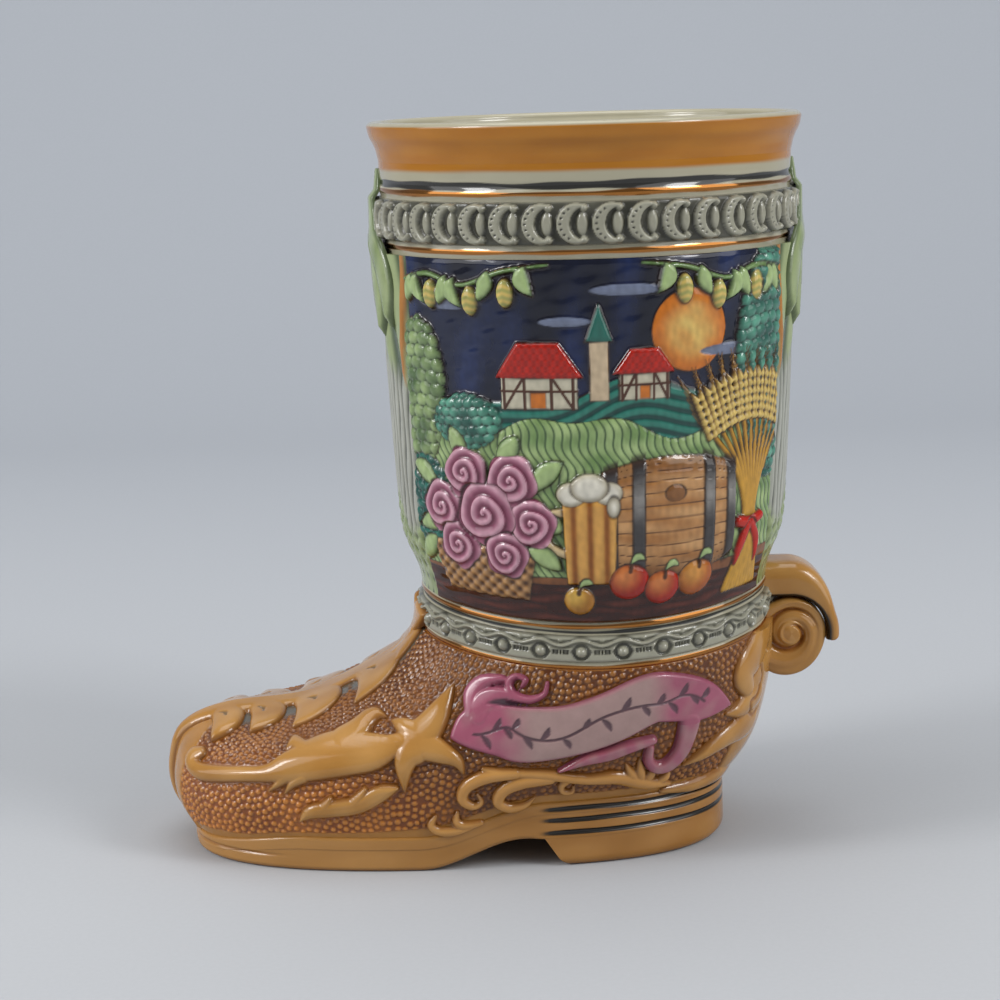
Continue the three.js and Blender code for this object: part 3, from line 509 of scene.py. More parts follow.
CREST = [
    stroke([(-96, 0), (-89, 0), (-86, 0), (-80, 0), (-70, 0), (-60, 0), (-50, 0), (-43, 0), (-36, 0),
            (-30, 0)], [2.5, 2.8, 3.4, 4.4, 4.8, 5.0, 5.0, 4.8, 4.6, 4.6], 48),
    stroke([(-80, 0), (-79, 6), (-79.4, 10.6), (-81.4, 13.6)], [3.6, 3.5, 2.9, 0.6]),
    stroke([(-71.8, 0), (-70.4, 6), (-70.8, 11), (-73.2, 15)], [3.9, 3.9, 3.2, 0.6]),
    stroke([(-61.8, 0), (-59.6, 6), (-59.8, 11.6), (-64, 16.8)], [4.6, 5.0, 4.4, 0.6]),
    stroke([(-49, 0), (-46.6, 5), (-46.8, 11), (-50.8, 17)], [4.8, 4.8, 4.0, 0.6]),
    stroke([(-41, 0), (-39.6, 4), (-42.2, 9)], [3.8, 3.4, 0.5]),
]
CREST_MARKS = [
    stroke([(-80.6, 4.6), (-79.4, 5.4), (-79.2, 7)], [0.2, 0.45, 0.2], 8),
    stroke([(-72.6, 4.8), (-71.4, 5.8), (-71.2, 7.6)], [0.2, 0.45, 0.2], 8),
    stroke([(-61.6, 5.4), (-60.2, 6.4), (-59.8, 8.4)], [0.2, 0.5, 0.2], 8),
    stroke([(-48.6, 4.4), (-47.4, 5.2), (-46.8, 7)], [0.2, 0.45, 0.2], 8),
]
COUNTER = [
    stroke([(0, 12), (0, 17), (0, 22), (0, 28), (0, 34), (0, 40), (0, 45)],
           [11, 14, 17.4, 18, 18, 18.4, 17]),
    stroke([(11, 44), (16, 40.6), (20.4, 37.8), (18, 33.6)], [5.0, 4.6, 3.6, 2.0]),
    stroke([(12, 31), (18, 30), (23.6, 29.4)], [3.4, 2.6, 0.4]),
    stroke([(12, 25), (19, 24.6), (25, 22.6), (30, 19.7)], [4.0, 3.0, 1.9, 0.3]),
    stroke([(0, 13.4), (16, 13.6), (31, 14)], [2.6, 2.2, 0.6]),
]
SIDE_RELIEF, FROND_RELIEF, VINE_RELIEF, CREST_RELIEF, COUNTER_RELIEF = 1.7, 1.4, 1.3, 1.7, 1.4
BANNER_RELIEF, CURL_RELIEF = 1.2, 1.4
SIDE_EDGE, FROND_EDGE, CREST_EDGE, BANNER_EDGE, CURL_EDGE = 2.3, 1.5, 2.4, 0.9, 1.1

# The beads: candidates in close rows up the foot are thinned until none stands too near another, and those
# left settle as the modeller's punch packs them: nearly hexagonal, with no rows that run through.
BEAD_PITCH, BEAD_RADIUS, BEAD_HEIGHT, BEAD_SCATTER, BEAD_SIZES = 1.42, 0.73, 0.46, 0.08, (0.86, 1.08)
START_PITCH, THINNED_PITCH = 0.5 * BEAD_PITCH, 0.75 * BEAD_PITCH
SETTLE_STEPS, SETTLE_RANGE, SETTLE_SHARE, NEIGHBOURS = 16, 1.1, 0.25, 7
map_stride = np.linspace(0, 1, 401)
map_rise = np.linspace(0, 1, 241)
map_points = upper(*np.meshgrid(map_stride, map_rise))
climb = np.linalg.norm(np.diff(map_points, axis=0), axis=-1).cumsum(0)
climb = np.concatenate([np.zeros((1, len(map_stride))), climb])
row_climb = START_PITCH * (0.5 + np.arange(int(climb.max() / START_PITCH)))
chance = np.random.default_rng(5)
start_stride, start_rise = [], []
for level, shift in zip(row_climb, chance.uniform(0, 1, len(row_climb))):
    row_rise = np.array([np.interp(level, column, map_rise, right=2.0) for column in climb.T])
    row_points = upper(map_stride, np.minimum(row_rise, 1))
    walk = np.concatenate([[0], np.linalg.norm(np.diff(row_points, axis=0), axis=-1).cumsum()])
    stride = np.interp((np.arange(int(walk[-1] / START_PITCH)) + shift) * START_PITCH, walk, map_stride)
    rise = np.interp(stride, map_stride, row_rise)
    start_stride.append(stride[rise < 1])
    start_rise.append(rise[rise < 1])
order = chance.permutation(sum(map(len, start_stride)))
bead_stride, bead_rise = np.concatenate(start_stride)[order], np.concatenate(start_rise)[order]


def bead_tree(centres):
    """The beads' middles, sorted so that the nearest are found quickly."""
    tree = kdtree.KDTree(len(centres))
    for i, centre in enumerate(centres):
        tree.insert(centre, i)
    tree.balance()
    return tree


def slide(stride, rise, shift):
    """Move points of the upper along it by a shift in mm: the shift's shares along stride and along rise."""
    step = 1e-3
    along = upper(np.minimum(stride + step, 1), rise) - upper(np.maximum(stride - step, 0), rise)
    up = upper(stride, np.minimum(rise + step, 1)) - upper(stride, np.maximum(rise - step, 0))
    along, up = along / (2 * step), up / (2 * step)
    aa, uu, au = ((p * q).sum(-1) for p, q in ((along, along), (up, up), (along, up)))
    a, u = (shift * along).sum(-1), (shift * up).sum(-1)
    square = np.maximum(aa * uu - au ** 2, 1e-6)
    stride = stride + (a * uu - u * au) / square
    rise = rise + (u * aa - a * au) / square
    return np.clip(stride, 0, 1), np.clip(rise, 0, 1)


centre = upper(bead_stride, bead_rise)
tree = bead_tree(centre)
kept = np.ones(len(centre), bool)
for i, middle in enumerate(centre):
    if kept[i]:
        kept[[j for _, j, _ in tree.find_range(middle, THINNED_PITCH) if j > i]] = False
bead_stride, bead_rise = bead_stride[kept], bead_rise[kept]
for _ in range(SETTLE_STEPS):
    centre = upper(bead_stride, bead_rise)
    tree = bead_tree(centre)
    near = np.array([[i for _, i, _ in tree.find_n(middle, NEIGHBOURS)] for middle in centre])
    away = centre[:, None] - centre[near]
    gap = np.linalg.norm(away, axis=-1)
    push = np.clip(SETTLE_RANGE * BEAD_PITCH - gap, 0, None) / np.maximum(gap, 0.05)
    bead_stride, bead_rise = slide(bead_stride, bead_rise, SETTLE_SHARE * (away * push[..., None]).sum(1))
scatter = chance.uniform(-BEAD_SCATTER, BEAD_SCATTER, (len(bead_stride), 3))
bead_centre = upper(bead_stride, bead_rise) + scatter
bead_size = BEAD_RADIUS * chance.uniform(*BEAD_SIZES, len(bead_stride))
bead_ground = bead_tree(bead_centre)


def on_map(table, stride, rise=None):
    """Read a table over stride, or over rise and stride, between its entries."""
    s = np.clip(stride, 0, 1) * (len(map_stride) - 1)
    c = np.minimum(s.astype(int), len(map_stride) - 2)
    if rise is None:
        return table[..., c] + (s - c) * (table[..., c + 1] - table[..., c])
    r = np.clip(rise, 0, 1) * (len(map_rise) - 1)
    k = np.minimum(r.astype(int), len(map_rise) - 2)
    low = table[k, c] + (s - c) * (table[k, c + 1] - table[k, c])
    high = table[k + 1, c] + (s - c) * (table[k + 1, c + 1] - table[k + 1, c])
    return low + (r - k) * (high - low)


def beads(points):
    """Height of the bead ground: a round cap about the nearest bead."""
    found = [bead_ground.find(point)[1:] for point in points.reshape(-1, 3)]
    which, gap = np.array(found).T
    share = gap / bead_size[which.astype(int)]
    return BEAD_HEIGHT * np.clip(1 - share ** 2, 0, 1).reshape(points.shape[:-1])


TAN, TAN_PALE, TAN_DEEP = paints("#a67535 #b6884b #7a4a22")
# Bead tops, and the dark between beads: a brown wash with painted shade in the gaps. The _LIT pair is the
# same paint made paler for the low toe: painted light.
BEAD_TOP, BEAD_WASH_AND_SHADE, BEAD_TOP_LIT, BEAD_WASH_AND_SHADE_LIT = paints("#8b5520 #592d0c #c47d35 #86481b")
CREAM, NOTCH_GREY = paints("#a7a18a #5a5347")
# Two stretches have no beads: a margin along the lower edge, wider at the heel and at the toe, and a cap
# over the toe, which reaches to each side of the middle line and spreads below.
MARGIN, MARGIN_HEEL, MARGIN_TOE, CAP_REACH, CAP_SPREAD = 1.3, 1.4, 1.2, 3.0, 9.5
FOOT_COARSE, FOOT_PARTING = 8, 0.55


def foot_tile(name, first, last, columns, rows):
    """One closed half of a side of the upper, right and left, with beads except under the ornament."""
    stride, rise = np.meshgrid(np.linspace(first, last, columns), np.linspace(0, 1, rows))
    base = upper(stride, rise)
    out = upper_normal(stride, rise)
    x, y, z = np.moveaxis(base, -1, 0)
    side_ornament = relief(x, z, SIDE_LEAF + FROND + [RIBBON] + BANNER_ENDS + VINE, 1.0)[0]
    crest = relief(x, y, CREST, 1.0)[0]
    counter = relief(stride * HALF_GIRTH, z, COUNTER, 1.0)[0]
    ornament = np.max([side_ornament, crest, counter], axis=0)
    up = on_map(climb, stride, rise)
    left = on_map(climb[-1:], stride)[0] - up
    border = MARGIN + MARGIN_HEEL * smooth(x, -60, -20) + MARGIN_TOE * smooth(x, -72, -84)
    cap_half = CAP_REACH + CAP_SPREAD * smooth(rise, 0.62, 0.42)
    toe_cap = smooth(cap_half - (1 - stride) * HALF_GIRTH, -0.4, 0.4)
    notch = smooth(crest, -1.9, -1.1) * smooth(y, 12.5, 8.5) * smooth(x, -83, -80)
    field = smooth(up, border, border + 0.5) * smooth(left, 0.2, 0.6)
    field = field * (1 - smooth(ornament, -0.6, -0.1)) * (1 - notch) * (1 - toe_cap)
    cap = beads(base) * field
    front = base + out * (cap + BEAD_HEIGHT * toe_cap * smooth(up, 0.2, 1.0))[..., None]
    # The gaps between beads are dark: a brown wash, and painted shade in the hollows. Near each ornament's
    # outline the ground is darker still: painted shade beside the sprigs.
    wash_and_shade = smooth(cap, 0.3, 0.03) * smooth(field, 0.0, 0.5)
    wash_and_shade = np.maximum(wash_and_shade, 0.55 * smooth(ornament, -1.6, -0.1))
    # Painted light: low on the toe the beads and the dark between them are paler and more orange, as if more
    # light fell there from below.
    lit_low_toe = smooth(x, -20, -60) * smooth(z, 28, 15)
    bead_top, wash = mix(BEAD_TOP, BEAD_TOP_LIT, lit_low_toe), mix(BEAD_WASH_AND_SHADE, BEAD_WASH_AND_SHADE_LIT, lit_low_toe)
    glow = dab(x, z + y, 21, 2.0)
    colour = mix(mix(bead_top, TAN, 0.3 * glow), wash, np.clip(wash_and_shade * (0.7 + 0.5 * glow), 0, 1))
    colour = mix(colour, TAN, np.maximum(1 - smooth(up, border - 0.4, border + 0.6), toe_cap) * 0.9)
    colour = mix(colour, NOTCH_GREY, notch)
    for side, mirrored in (("right", False), ("left", True)):
        clay_tile(f"{name}_{side}", front, base - out * WALL, colour, CREAM, FOOT_COARSE, brown_glaze,
                  ["foot_upper"], mirrored)


# Brown-washed glaze: glossy, warm, breaking paler on each bead.
brown_glaze = (glazed("brown_stoneware_glaze", 6.0, 0.1, 0.17, 0.12), "brown_glaze")
foot_tile("foot_quarter", 0.0, FOOT_PARTING, 337, 161)
foot_tile("foot_toe", FOOT_PARTING, 1.0, 249, 273)

# The welt, sole and heel: smooth slabs of the same clay under the upper, honey-tan, with the heel's lifts
# cut as three grooves and blacked in. The toe's edge carries one fine groove.
WELT_THICKNESS, WELT_LIP, WELT_ROUND, WELT_TOP = 2.2, 0.5, 0.7, 0.35
SOLE_LIP, SOLE_ROUND, SEAM_OVERLAP = 0.35, 1.1, 0.01
ARCH_HEIGHT, ARCH_RUN_OUT = 6.0, 4.6
HEEL_RAKE, HEEL_ROUND, BREAST_BOW = 4.0, 2.0, 1.2
LIFT_LINES, LIFT_DEPTH, LIFT_HALF_WIDTH = (12.2, 9.8, 7.1), 0.4, 0.62
TOE_LINE, TOE_LINE_DEPTH, TOE_LINE_HALF_WIDTH = 3.0, 0.3, 0.4
GROOVE_BLACK, SOLE_TAN, SOLE_PALE = paints("#1d1812 #926328 #b08044")


def slab_faces(rows, columns):
    """Faces of a stack of closed loops, with ladders from side to side over its two ends."""
    grid = np.arange(rows * columns).reshape(rows, columns)
    ring = np.roll(grid, -1, 1)
    wall = np.stack([grid[:-1], ring[:-1], ring[1:], grid[1:]], -1).reshape(-1, 4)
    i = np.arange(1, columns // 2 - 1)
    top = grid[-1]
    ladder = np.stack([top[i], top[i + 1], top[columns - i - 1], top[columns - i]], 1)
    tips = np.array([[top[0], top[1], top[-1]],
                     [top[columns // 2 - 1], top[columns // 2], top[columns // 2 + 1]]])
    drop = (rows - 1) * columns
    quads = np.concatenate([wall, ladder, (ladder - drop)[:, ::-1]])
    return quads, np.concatenate([tips, (tips - drop)[:, ::-1]])


def slab(name, x, y, low, high, rows, node_name, coat, lip, rounded=(0.0, 0.0), rake=0.0, end=-TOE_REACH,
         plain=None):
    """A slab between two heights over a closed outline that runs from the heel to its end toward the toe.

    Its wall stands out by a lip, is rounded at its lower and upper edge, and is grooved. Rake draws the foot
    of the wall back to the heel, most at the end. A plain colour takes the place of the painted ones.
    """
    middle, half_length = (HEEL_REACH + end) / 2, (HEEL_REACH - end) / 2
    t = np.linspace(0, 1, rows)[:, None]
    z = low + t * (high - low)
    inset = -lip + 0 * z
    for away, radius in ((z - low, rounded[0]), (high - z, rounded[1])):
        inset = inset + radius * (1 - rounded_edge(away, np.maximum(radius, 0.01)))
    cut = 0
    for line in LIFT_LINES:
        away = np.abs(z - line + 0.05 * np.sin(x / 3.1 + line))
        cut = cut + np.clip(1 - (away / LIFT_HALF_WIDTH) ** 2, 0, 1)
    cut = cut * smooth(x, HEEL_BREAST - 3, HEEL_BREAST + 5)
    toe_line = np.clip(1 - (np.abs(z - TOE_LINE) / TOE_LINE_HALF_WIDTH) ** 2, 0, 1) * smooth(x, -64, -74)
    inset = inset + LIFT_DEPTH * cut + TOE_LINE_DEPTH * toe_line
    lean = rake * (1 - t) * (HEEL_REACH - x) / (HEEL_REACH - HEEL_BREAST)
    points = np.stack([middle + (x - middle) * (1 - inset / half_length) + lean,
                       y * (1 - inset / SOLE_HALF_WIDTH), z], -1)
    brush = dab(points[..., 0] + points[..., 1], points[..., 2] * 2, 17, 4.0)
    pale = 0.4 * brush + 0.6 * smooth(points[..., 0], -10, -60)
    colour = mix(mix(SOLE_TAN, SOLE_PALE, pale), TAN_DEEP, 0.5 * toe_line)
    # Painted shade: darker within 1.2 mm of the floor, where the slab stands on it.
    colour = mix(colour, TAN_DEEP, 0.45 * smooth(z, 1.2, 0.0))
    colour = mix(colour, GROOVE_BLACK, smooth(cut, 0.02, 0.35))
    if plain is not None:
        colour = np.broadcast_to(plain, colour.shape)
    clay_piece(name, points, slab_faces(*points.shape[:2]), colour, coat, [node_name])


# Clear glaze over honey-tan slip: glossy, faintly streaked.
honey_glaze = glazed("honey_tan_glaze", 14.0, 0.06, 0.16, 0.1)
welt_coat, sole_coat = (honey_glaze, "tan_glaze"), (honey_glaze, "brown_glaze")
edge_x, edge_y = sole_outline(np.arange(360) / 180)
feather = feather_height(edge_x)
seam = feather - WELT_THICKNESS
slab("welt", edge_x, edge_y, seam, feather + WELT_TOP, 15, "welt", welt_coat, WELT_LIP, (0.0, WELT_ROUND))
arch = ARCH_HEIGHT * smooth(edge_x, HEEL_BREAST - ARCH_LENGTH, HEEL_BREAST - ARCH_RUN_OUT)
sole_round = SOLE_ROUND * smooth(edge_x, HEEL_BREAST, HEEL_BREAST - 4)
slab("sole", edge_x, edge_y, arch, seam + SEAM_OVERLAP, 45, "sole", sole_coat, SOLE_LIP, (sole_round, 0.0))
breast = np.interp(HEEL_BREAST, outline_x[::-1], np.linspace(1, 0, len(outline_x)))
breast_stride = np.interp(breast * np.pi, outline_angle, outline_walk) / HALF_GIRTH
heel_x, heel_y = sole_outline(np.linspace(0, breast_stride, 97))
breast_y = np.linspace(heel_y[-1], 0, 25)[1:]
half_x = np.concatenate([heel_x, HEEL_BREAST + BREAST_BOW * (1 - (breast_y / heel_y[-1]) ** 2)])
half_y = np.concatenate([heel_y, breast_y])
heel_edge_x = np.concatenate([half_x, half_x[-2:0:-1]])
heel_edge_y = np.concatenate([half_y, -half_y[-2:0:-1]])
heel_top = np.full(len(heel_edge_x), ARCH_HEIGHT + SEAM_OVERLAP)
slab("heel", heel_edge_x, heel_edge_y, 0 * heel_top, heel_top, 31, "heel", sole_coat, SOLE_LIP,
     (HEEL_ROUND, 0.0), HEEL_RAKE, HEEL_BREAST)

# The applied ornament of the foot: sprigs of soft clay pressed in moulds and luted on to the bead ground,
# left honey-tan under the glaze. Each is a patch cut from the upper's surface along its own outline.
SPRIG_ROOT, SPRIG_EDGE = 0.35, 0.18
BOTH_SIDES, MIDDLE = ("_right", "_left"), ("",)


def patch_faces(keep):
    """Faces of a closed patch of kept grid cells: its top, the same cells below, and walls round its edge.

    Returns the grid points in use, quads over those points and then over the same points again below.
    """
    rows, columns = keep.shape[0] + 1, keep.shape[1] + 1
    grid = np.arange(rows * columns).reshape(rows, columns)
    cells = np.stack([grid[:-1, :-1], grid[:-1, 1:], grid[1:, 1:], grid[1:, :-1]], -1)[keep]
    used, cells = np.unique(cells, return_inverse=True)
    cells = cells.reshape(-1, 4)
    start, end = cells.ravel(), np.roll(cells, -1, 1).ravel()
    edge = ~np.isin(start * len(used) + end, end * len(used) + start)
    start, end = start[edge], end[edge]
    below = len(used)
    walls = np.stack([end, start, start + below, end + below], 1)
    return used, np.concatenate([cells, cells[:, ::-1] + below, walls])


def on_upper(stride, rise):
    """Points and outward normals of the upper."""
    return upper(stride % 2, rise), upper_normal(stride, rise)


def sprig(name, stride, rise, depth, height, colour, coat, sides=BOTH_SIDES, surface=on_upper,
          node_name=None):
    """A closed clay sprig on a surface: cells with a corner inside, outer corners drawn back to the outline.

    Where two cells meet at a corner only, a third joins them, so that no edge has four faces.
    """
    inside = depth > 0
    keep = inside[:-1, :-1] | inside[1:, :-1] | inside[:-1, 1:] | inside[1:, 1:]
    slant = keep[:-1, :-1] & keep[1:, 1:] & ~keep[1:, :-1] & ~keep[:-1, 1:]
    keep[1:, :-1] |= slant
    slant = ~keep[:-1, :-1] & ~keep[1:, 1:] & keep[1:, :-1] & keep[:-1, 1:]
    keep[1:, 1:] |= slant
    total = np.zeros((3,) + depth.shape)
    padded = np.pad(np.stack([depth, stride, rise]), ((0, 0), (1, 1), (1, 1)), "edge")
    rows, columns = depth.shape
    for i, j in ((0, 0), (0, 1), (0, 2), (1, 0), (1, 2), (2, 0), (2, 1), (2, 2)):
        beside = padded[:, i:i + rows, j:j + columns]
        cross = ~inside & (beside[0] > 0)
        share = np.where(cross, depth / np.where(cross, depth - beside[0], 1), 0)
        total += cross * np.stack([np.ones_like(depth), stride + share * (beside[1] - stride),
                                   rise + share * (beside[2] - rise)])
    count = np.maximum(total[0], 1)
    stride = np.where(total[0] > 0, total[1] / count, stride)
    rise = np.where(total[0] > 0, total[2] / count, rise)
    used, quads = patch_faces(keep)
    stride, rise = stride.ravel()[used], rise.ravel()[used]
    lift = np.where(inside, SPRIG_EDGE + height, SPRIG_EDGE).ravel()[used]
    base, out = surface(stride, rise)
    points = np.concatenate([base + out * lift[:, None], base - out * SPRIG_ROOT])
    paint = np.tile(colour.reshape(-1, 3)[used], (2, 1))
    for side in sides:
        clay_piece(name + side, points, (quads, NO_TRIANGLES), paint, coat, [(node_name or name) + side],
                   side == "_left")


def window(first, last, low, high, columns, rows):
    """A grid over a part of the upper and its points in the side view: stride, rise, x, y, z."""
    stride, rise = np.meshgrid(np.linspace(first, last, columns), np.linspace(low, high, rows))
    return stride, rise, *np.moveaxis(upper(stride % 2, rise), -1, 0)


def tan_paint(depth, a, b, seed):
    """Honey-tan slip, paler by brush, and deeper within 0.7 mm of the outline: painted shade where the sprig
    meets the ground.
    """
    return mix(mix(TAN, TAN_PALE, 0.8 * dab(a, b, 11, seed)), TAN_DEEP, 0.75 * smooth(depth, 0.7, 0.0))


# Clear glaze over honey-tan slip on the sprigs: glossiest of all, rounded highlights.
tan_glaze = (glazed("honey_sprig_glaze", 9.0, 0.06, 0.13, 0.08), "tan_glaze")

# The acanthus leaf on each side of the vamp, the small frond below it and the scroll vine under the banner:
# press-moulded sprigs of tan clay, luted on along the quarter. The vine's tops are painted paler: painted
# light.
VINE_LIT = paint_hex("#c28c49")
stride, rise, x, _, z = window(0.46, 0.98, 0.12, 0.97, 297, 169)
depth, domed = relief(x, z, SIDE_LEAF, SIDE_RELIEF)
top = 0.45 * domed + 0.55 * relief(x, z, SIDE_LEAF, SIDE_RELIEF, SIDE_EDGE)[1]
sprig("side_leaf", stride, rise, depth, top, tan_paint(depth, x, z, 1.0), tan_glaze)
stride, rise, x, _, z = window(0.52, 0.84, 0.02, 0.5, 225, 113)
depth, top = relief(x, z, FROND, FROND_RELIEF, FROND_EDGE)
sprig("frond", stride, rise, depth, top, tan_paint(depth, x, z, 2.0), tan_glaze)
stride, rise, x, _, z = window(0.2, 0.67, 0.005, 0.5, 289, 105)
depth, top = relief(x, z, VINE, VINE_RELIEF)
# Painted light: the vine is paler inside its outline, as if more light fell on it low on the foot.
vine_paint = mix(tan_paint(depth, x, z, 3.0), VINE_LIT, 0.6 * smooth(depth, 0.0, 0.7))
sprig("vine", stride, rise, depth, top, vine_paint, tan_glaze)

# The crest along the ridge of the vamp: a moulded rib of tan clay with lobes to each side, highest at the
# toe, luted on over the middle line. A short mark is cut into each lobe and washed grey.
CREST_FALL, MARK_DEPTH = 0.55, 0.6
stride, rise, x, y, _ = window(0.7, 1.3, 0.02, 1.0, 265, 257)
depth, top = relief(x, np.abs(y), CREST, CREST_RELIEF, CREST_EDGE)
top = top * (1 - CREST_FALL * smooth(x, -92, -56))
mark_depth, mark_cut = relief(x, np.abs(y), CREST_MARKS, MARK_DEPTH)
crest_paint = mix(tan_paint(depth, x, y, 4.0), NOTCH_GREY, 0.8 * smooth(mark_depth, -0.15, 0.25))
sprig("toe_crest", stride, rise, depth, np.maximum(top - mark_cut, 0), crest_paint, tan_glaze, MIDDLE)

# The counter leaf: a broad leaf of tan clay pressed round the back of the heel, with a curl and points to
# each side, luted on below the spur. Its veins are drawn with a point and washed dark.
LINE_CUT = 0.35
COUNTER_LINES = [
    stroke([(16.5, 35.6), (14, 37.6), (12.2, 34.4), (14.6, 31.4), (17.2, 30.6), (14.4, 27.2), (10.9, 28.1)],
           [0.2, 0.35, 0.4, 0.4, 0.35, 0.35, 0.15], 40),
    stroke([(4, 40), (6, 34), (3.4, 28), (4.4, 22)], [0.15, 0.4, 0.4, 0.15]),
]
stride, rise, _, _, z = window(-0.23, 0.23, 0.0, 1.0, 217, 97)
walk = np.abs(stride) * HALF_GIRTH
depth, top = relief(walk, z, COUNTER, COUNTER_RELIEF)
line_depth, line_cut = relief(walk, z, COUNTER_LINES, LINE_CUT)
counter_paint = mix(tan_paint(depth, walk, z, 5.0), TAN_DEEP, 0.8 * smooth(line_depth, -0.2, 0.2))
sprig("counter_leaf", stride, rise, depth, np.maximum(top - line_cut, 0), counter_paint, tan_glaze, MIDDLE)

# The banner: a thin ribbon of clay along the quarter with curled ends, brushed rose at the tips and left
# lilac-grey between. Its field is bare of words; a plain sprig of leaves is drawn along it instead.
ROSE, ROSE_DEEP, LILAC, PLUM, TAIL_RED = paints("#995266 #763a4c #a0837e #4f3640 #8c3138")
BANNER_FOLD = [stroke([(-23, 35.6), (-19.4, 36), (-14.4, 35.6)], [0.15, 0.75, 0.15])]
FOLD_CUT, STEM_HALF_WIDTH, STEM_WAVE, LEAF_REACH, LEAF_RISE, DRAWN_CUT = 0.8, 0.27, 1.1, 1.9, 2.7, 0.25
stride, rise, x, _, z = window(0.02, 0.64, 0.06, 0.97, 369, 145)
ribbon_depth, ribbon_top = relief(x, z, [RIBBON], BANNER_RELIEF, BANNER_EDGE)
curl_depth, curl_top = relief(x, z, BANNER_ENDS, CURL_RELIEF, CURL_EDGE)
fold_depth, fold_cut = relief(x, z, BANNER_FOLD, FOLD_CUT)
stem_run = np.linspace(0.16, 0.84, 49)
stem_wave = np.stack([0 * stem_run, STEM_WAVE * np.sin(stem_run * 26)], 1)
stem_path = spline(np.array(BANNER_PATH), stem_run) + stem_wave
flourish = [(stem_path, np.full(len(stem_path), STEM_HALF_WIDTH))]
for n, at in enumerate(range(2, 48, 3)):
    lean = np.array([LEAF_REACH, LEAF_RISE if n % 2 else -LEAF_RISE]) * (1.0 if n % 4 < 2 else 0.8)
    root = stem_path[at]
    flourish.append(stroke([root, root + 0.5 * lean + [0.4, 0], root + lean], [0.12, 0.62, 0.1], 10))
drawn, drawn_cut = relief(x, z, flourish, DRAWN_CUT)
depth = np.maximum(ribbon_depth, curl_depth)
rose_share = np.clip(smooth(x, -13, -22) + smooth(x, 8, 15), 0, 1) * (0.75 + 0.4 * dab(x, z, 6, 1.5))
ribbon_paint = mix(LILAC, ROSE, np.clip(rose_share + 0.5 * smooth(ribbon_depth, 1.1, 0.2), 0, 1))
curl_paint = mix(LILAC, ROSE, np.where(z < 30, 0.3 + 0.6 * dab(x, z, 5, 2.5), 1.0))
banner_paint = mix(ribbon_paint, curl_paint, smooth(curl_depth - ribbon_depth, -0.2, 0.3))
tail_edge = smooth(curl_depth, 0.9, 0.1) * smooth(z, 29, 26) * smooth(curl_depth, -0.1, 0.1)
banner_paint = mix(banner_paint, TAIL_RED, 0.7 * tail_edge)
# Painted shade: deeper rose within 0.6 mm of the outline, where the ribbon meets the ground.
banner_paint = mix(banner_paint, ROSE_DEEP, 0.6 * smooth(depth, 0.6, 0.0))
# The drawn sprig is plum ink. The fold under the flap is plum too, as painted shade in the crease.
ink_and_fold_shade = np.maximum(0.9 * smooth(drawn, -0.12, 0.1), smooth(fold_depth, -0.1, 0.3))
banner_paint = mix(banner_paint, PLUM, ink_and_fold_shade)
banner_top = np.maximum(np.maximum(ribbon_top, curl_top) - drawn_cut - fold_cut, 0)
# Rose underglaze colour below clear glaze: glossy, cloudy by brush.
rose_glaze = (glazed("rose_underglaze", 4.0, 0.09, 0.13, 0.06), "pink_glaze")
sprig("banner", stride, rise, depth, banner_top, banner_paint, rose_glaze)

# The spur at the back: a horn of clay that leaves the leg level, then bends down round a rolled scroll and
# thins to its tip. Both are modelled by hand and luted to the leg and the counter. A black line is drawn
# along the horn's lower edges.
SPUR_HALF_WIDTH, HORN_ROOT, HORN_TIP, HORN_EDGE_SHARE, HORN_WRAP = 7.0, 7.6, 2.9, 0.5, 102.0
VOLUTE_CENTRE, VOLUTE_RADIUS, VOLUTE_HALF_WIDTH, VOLUTE_ROUND = (41.6, 41.9), 7.5, 6.2, 1.2
VOLUTE_PITCH, VOLUTE_GROOVE, VOLUTE_FLOW, VOLUTE_BOSS, VOLUTE_RIDGE = 3.8, 1.1, 2.2, 0.9, 0.35
HORN_START, HORN_CLEARANCE, HORN_LINE, HORN_ROWS, HORN_COLUMNS = 33.5, 0.2, 0.5, 81, 96
GROOVE_BROWN, BRUSH_RING = paint_hex("#864a1c"), 9.0
level_x = np.linspace(HORN_START, VOLUTE_CENTRE[0], 17)[:-1]
bend = np.concatenate([0 * level_x, np.linspace(0, HORN_WRAP, HORN_ROWS)])[:, None]
horn_x = np.concatenate([level_x, np.full(HORN_ROWS, VOLUTE_CENTRE[0])])[:, None]
blunt = np.sqrt(1 - np.clip((bend / HORN_WRAP - 0.93) / 0.074, 0, 1) ** 2)
crown = (HORN_ROOT + (HORN_TIP - HORN_ROOT) * smooth(bend, 0, 0.7 * HORN_WRAP)) * (0.6 + 0.4 * blunt)
section = np.arange(HORN_COLUMNS) / HORN_COLUMNS * 2 * np.pi
lengthwise = np.cos(section)
side_share = -np.sign(np.sin(section)) * np.abs(np.sin(section)) ** 0.4
edge = HORN_EDGE_SHARE * crown
horn_n = np.where(lengthwise > 0, edge + (crown - edge) * np.abs(lengthwise) ** 0.9,
                  edge - edge * np.abs(lengthwise) ** 0.35)
horn_y = SPUR_HALF_WIDTH * side_share * (0.86 + 0.14 * blunt)
reach = VOLUTE_RADIUS + HORN_CLEARANCE + horn_n
horn_points = np.stack([horn_x + reach * np.sin(np.radians(bend)), horn_y,
                        VOLUTE_CENTRE[1] + reach * np.cos(np.radians(bend))], -1)
black_line = smooth(np.abs(horn_n - HORN_LINE), 0.6, 0.3) * (np.abs(side_share) > 0.8) * (lengthwise < 0)
horn_tan = tan_paint(np.full(horn_n.shape, FAR), horn_points[..., 0], horn_points[..., 2] + horn_y, 6.0)
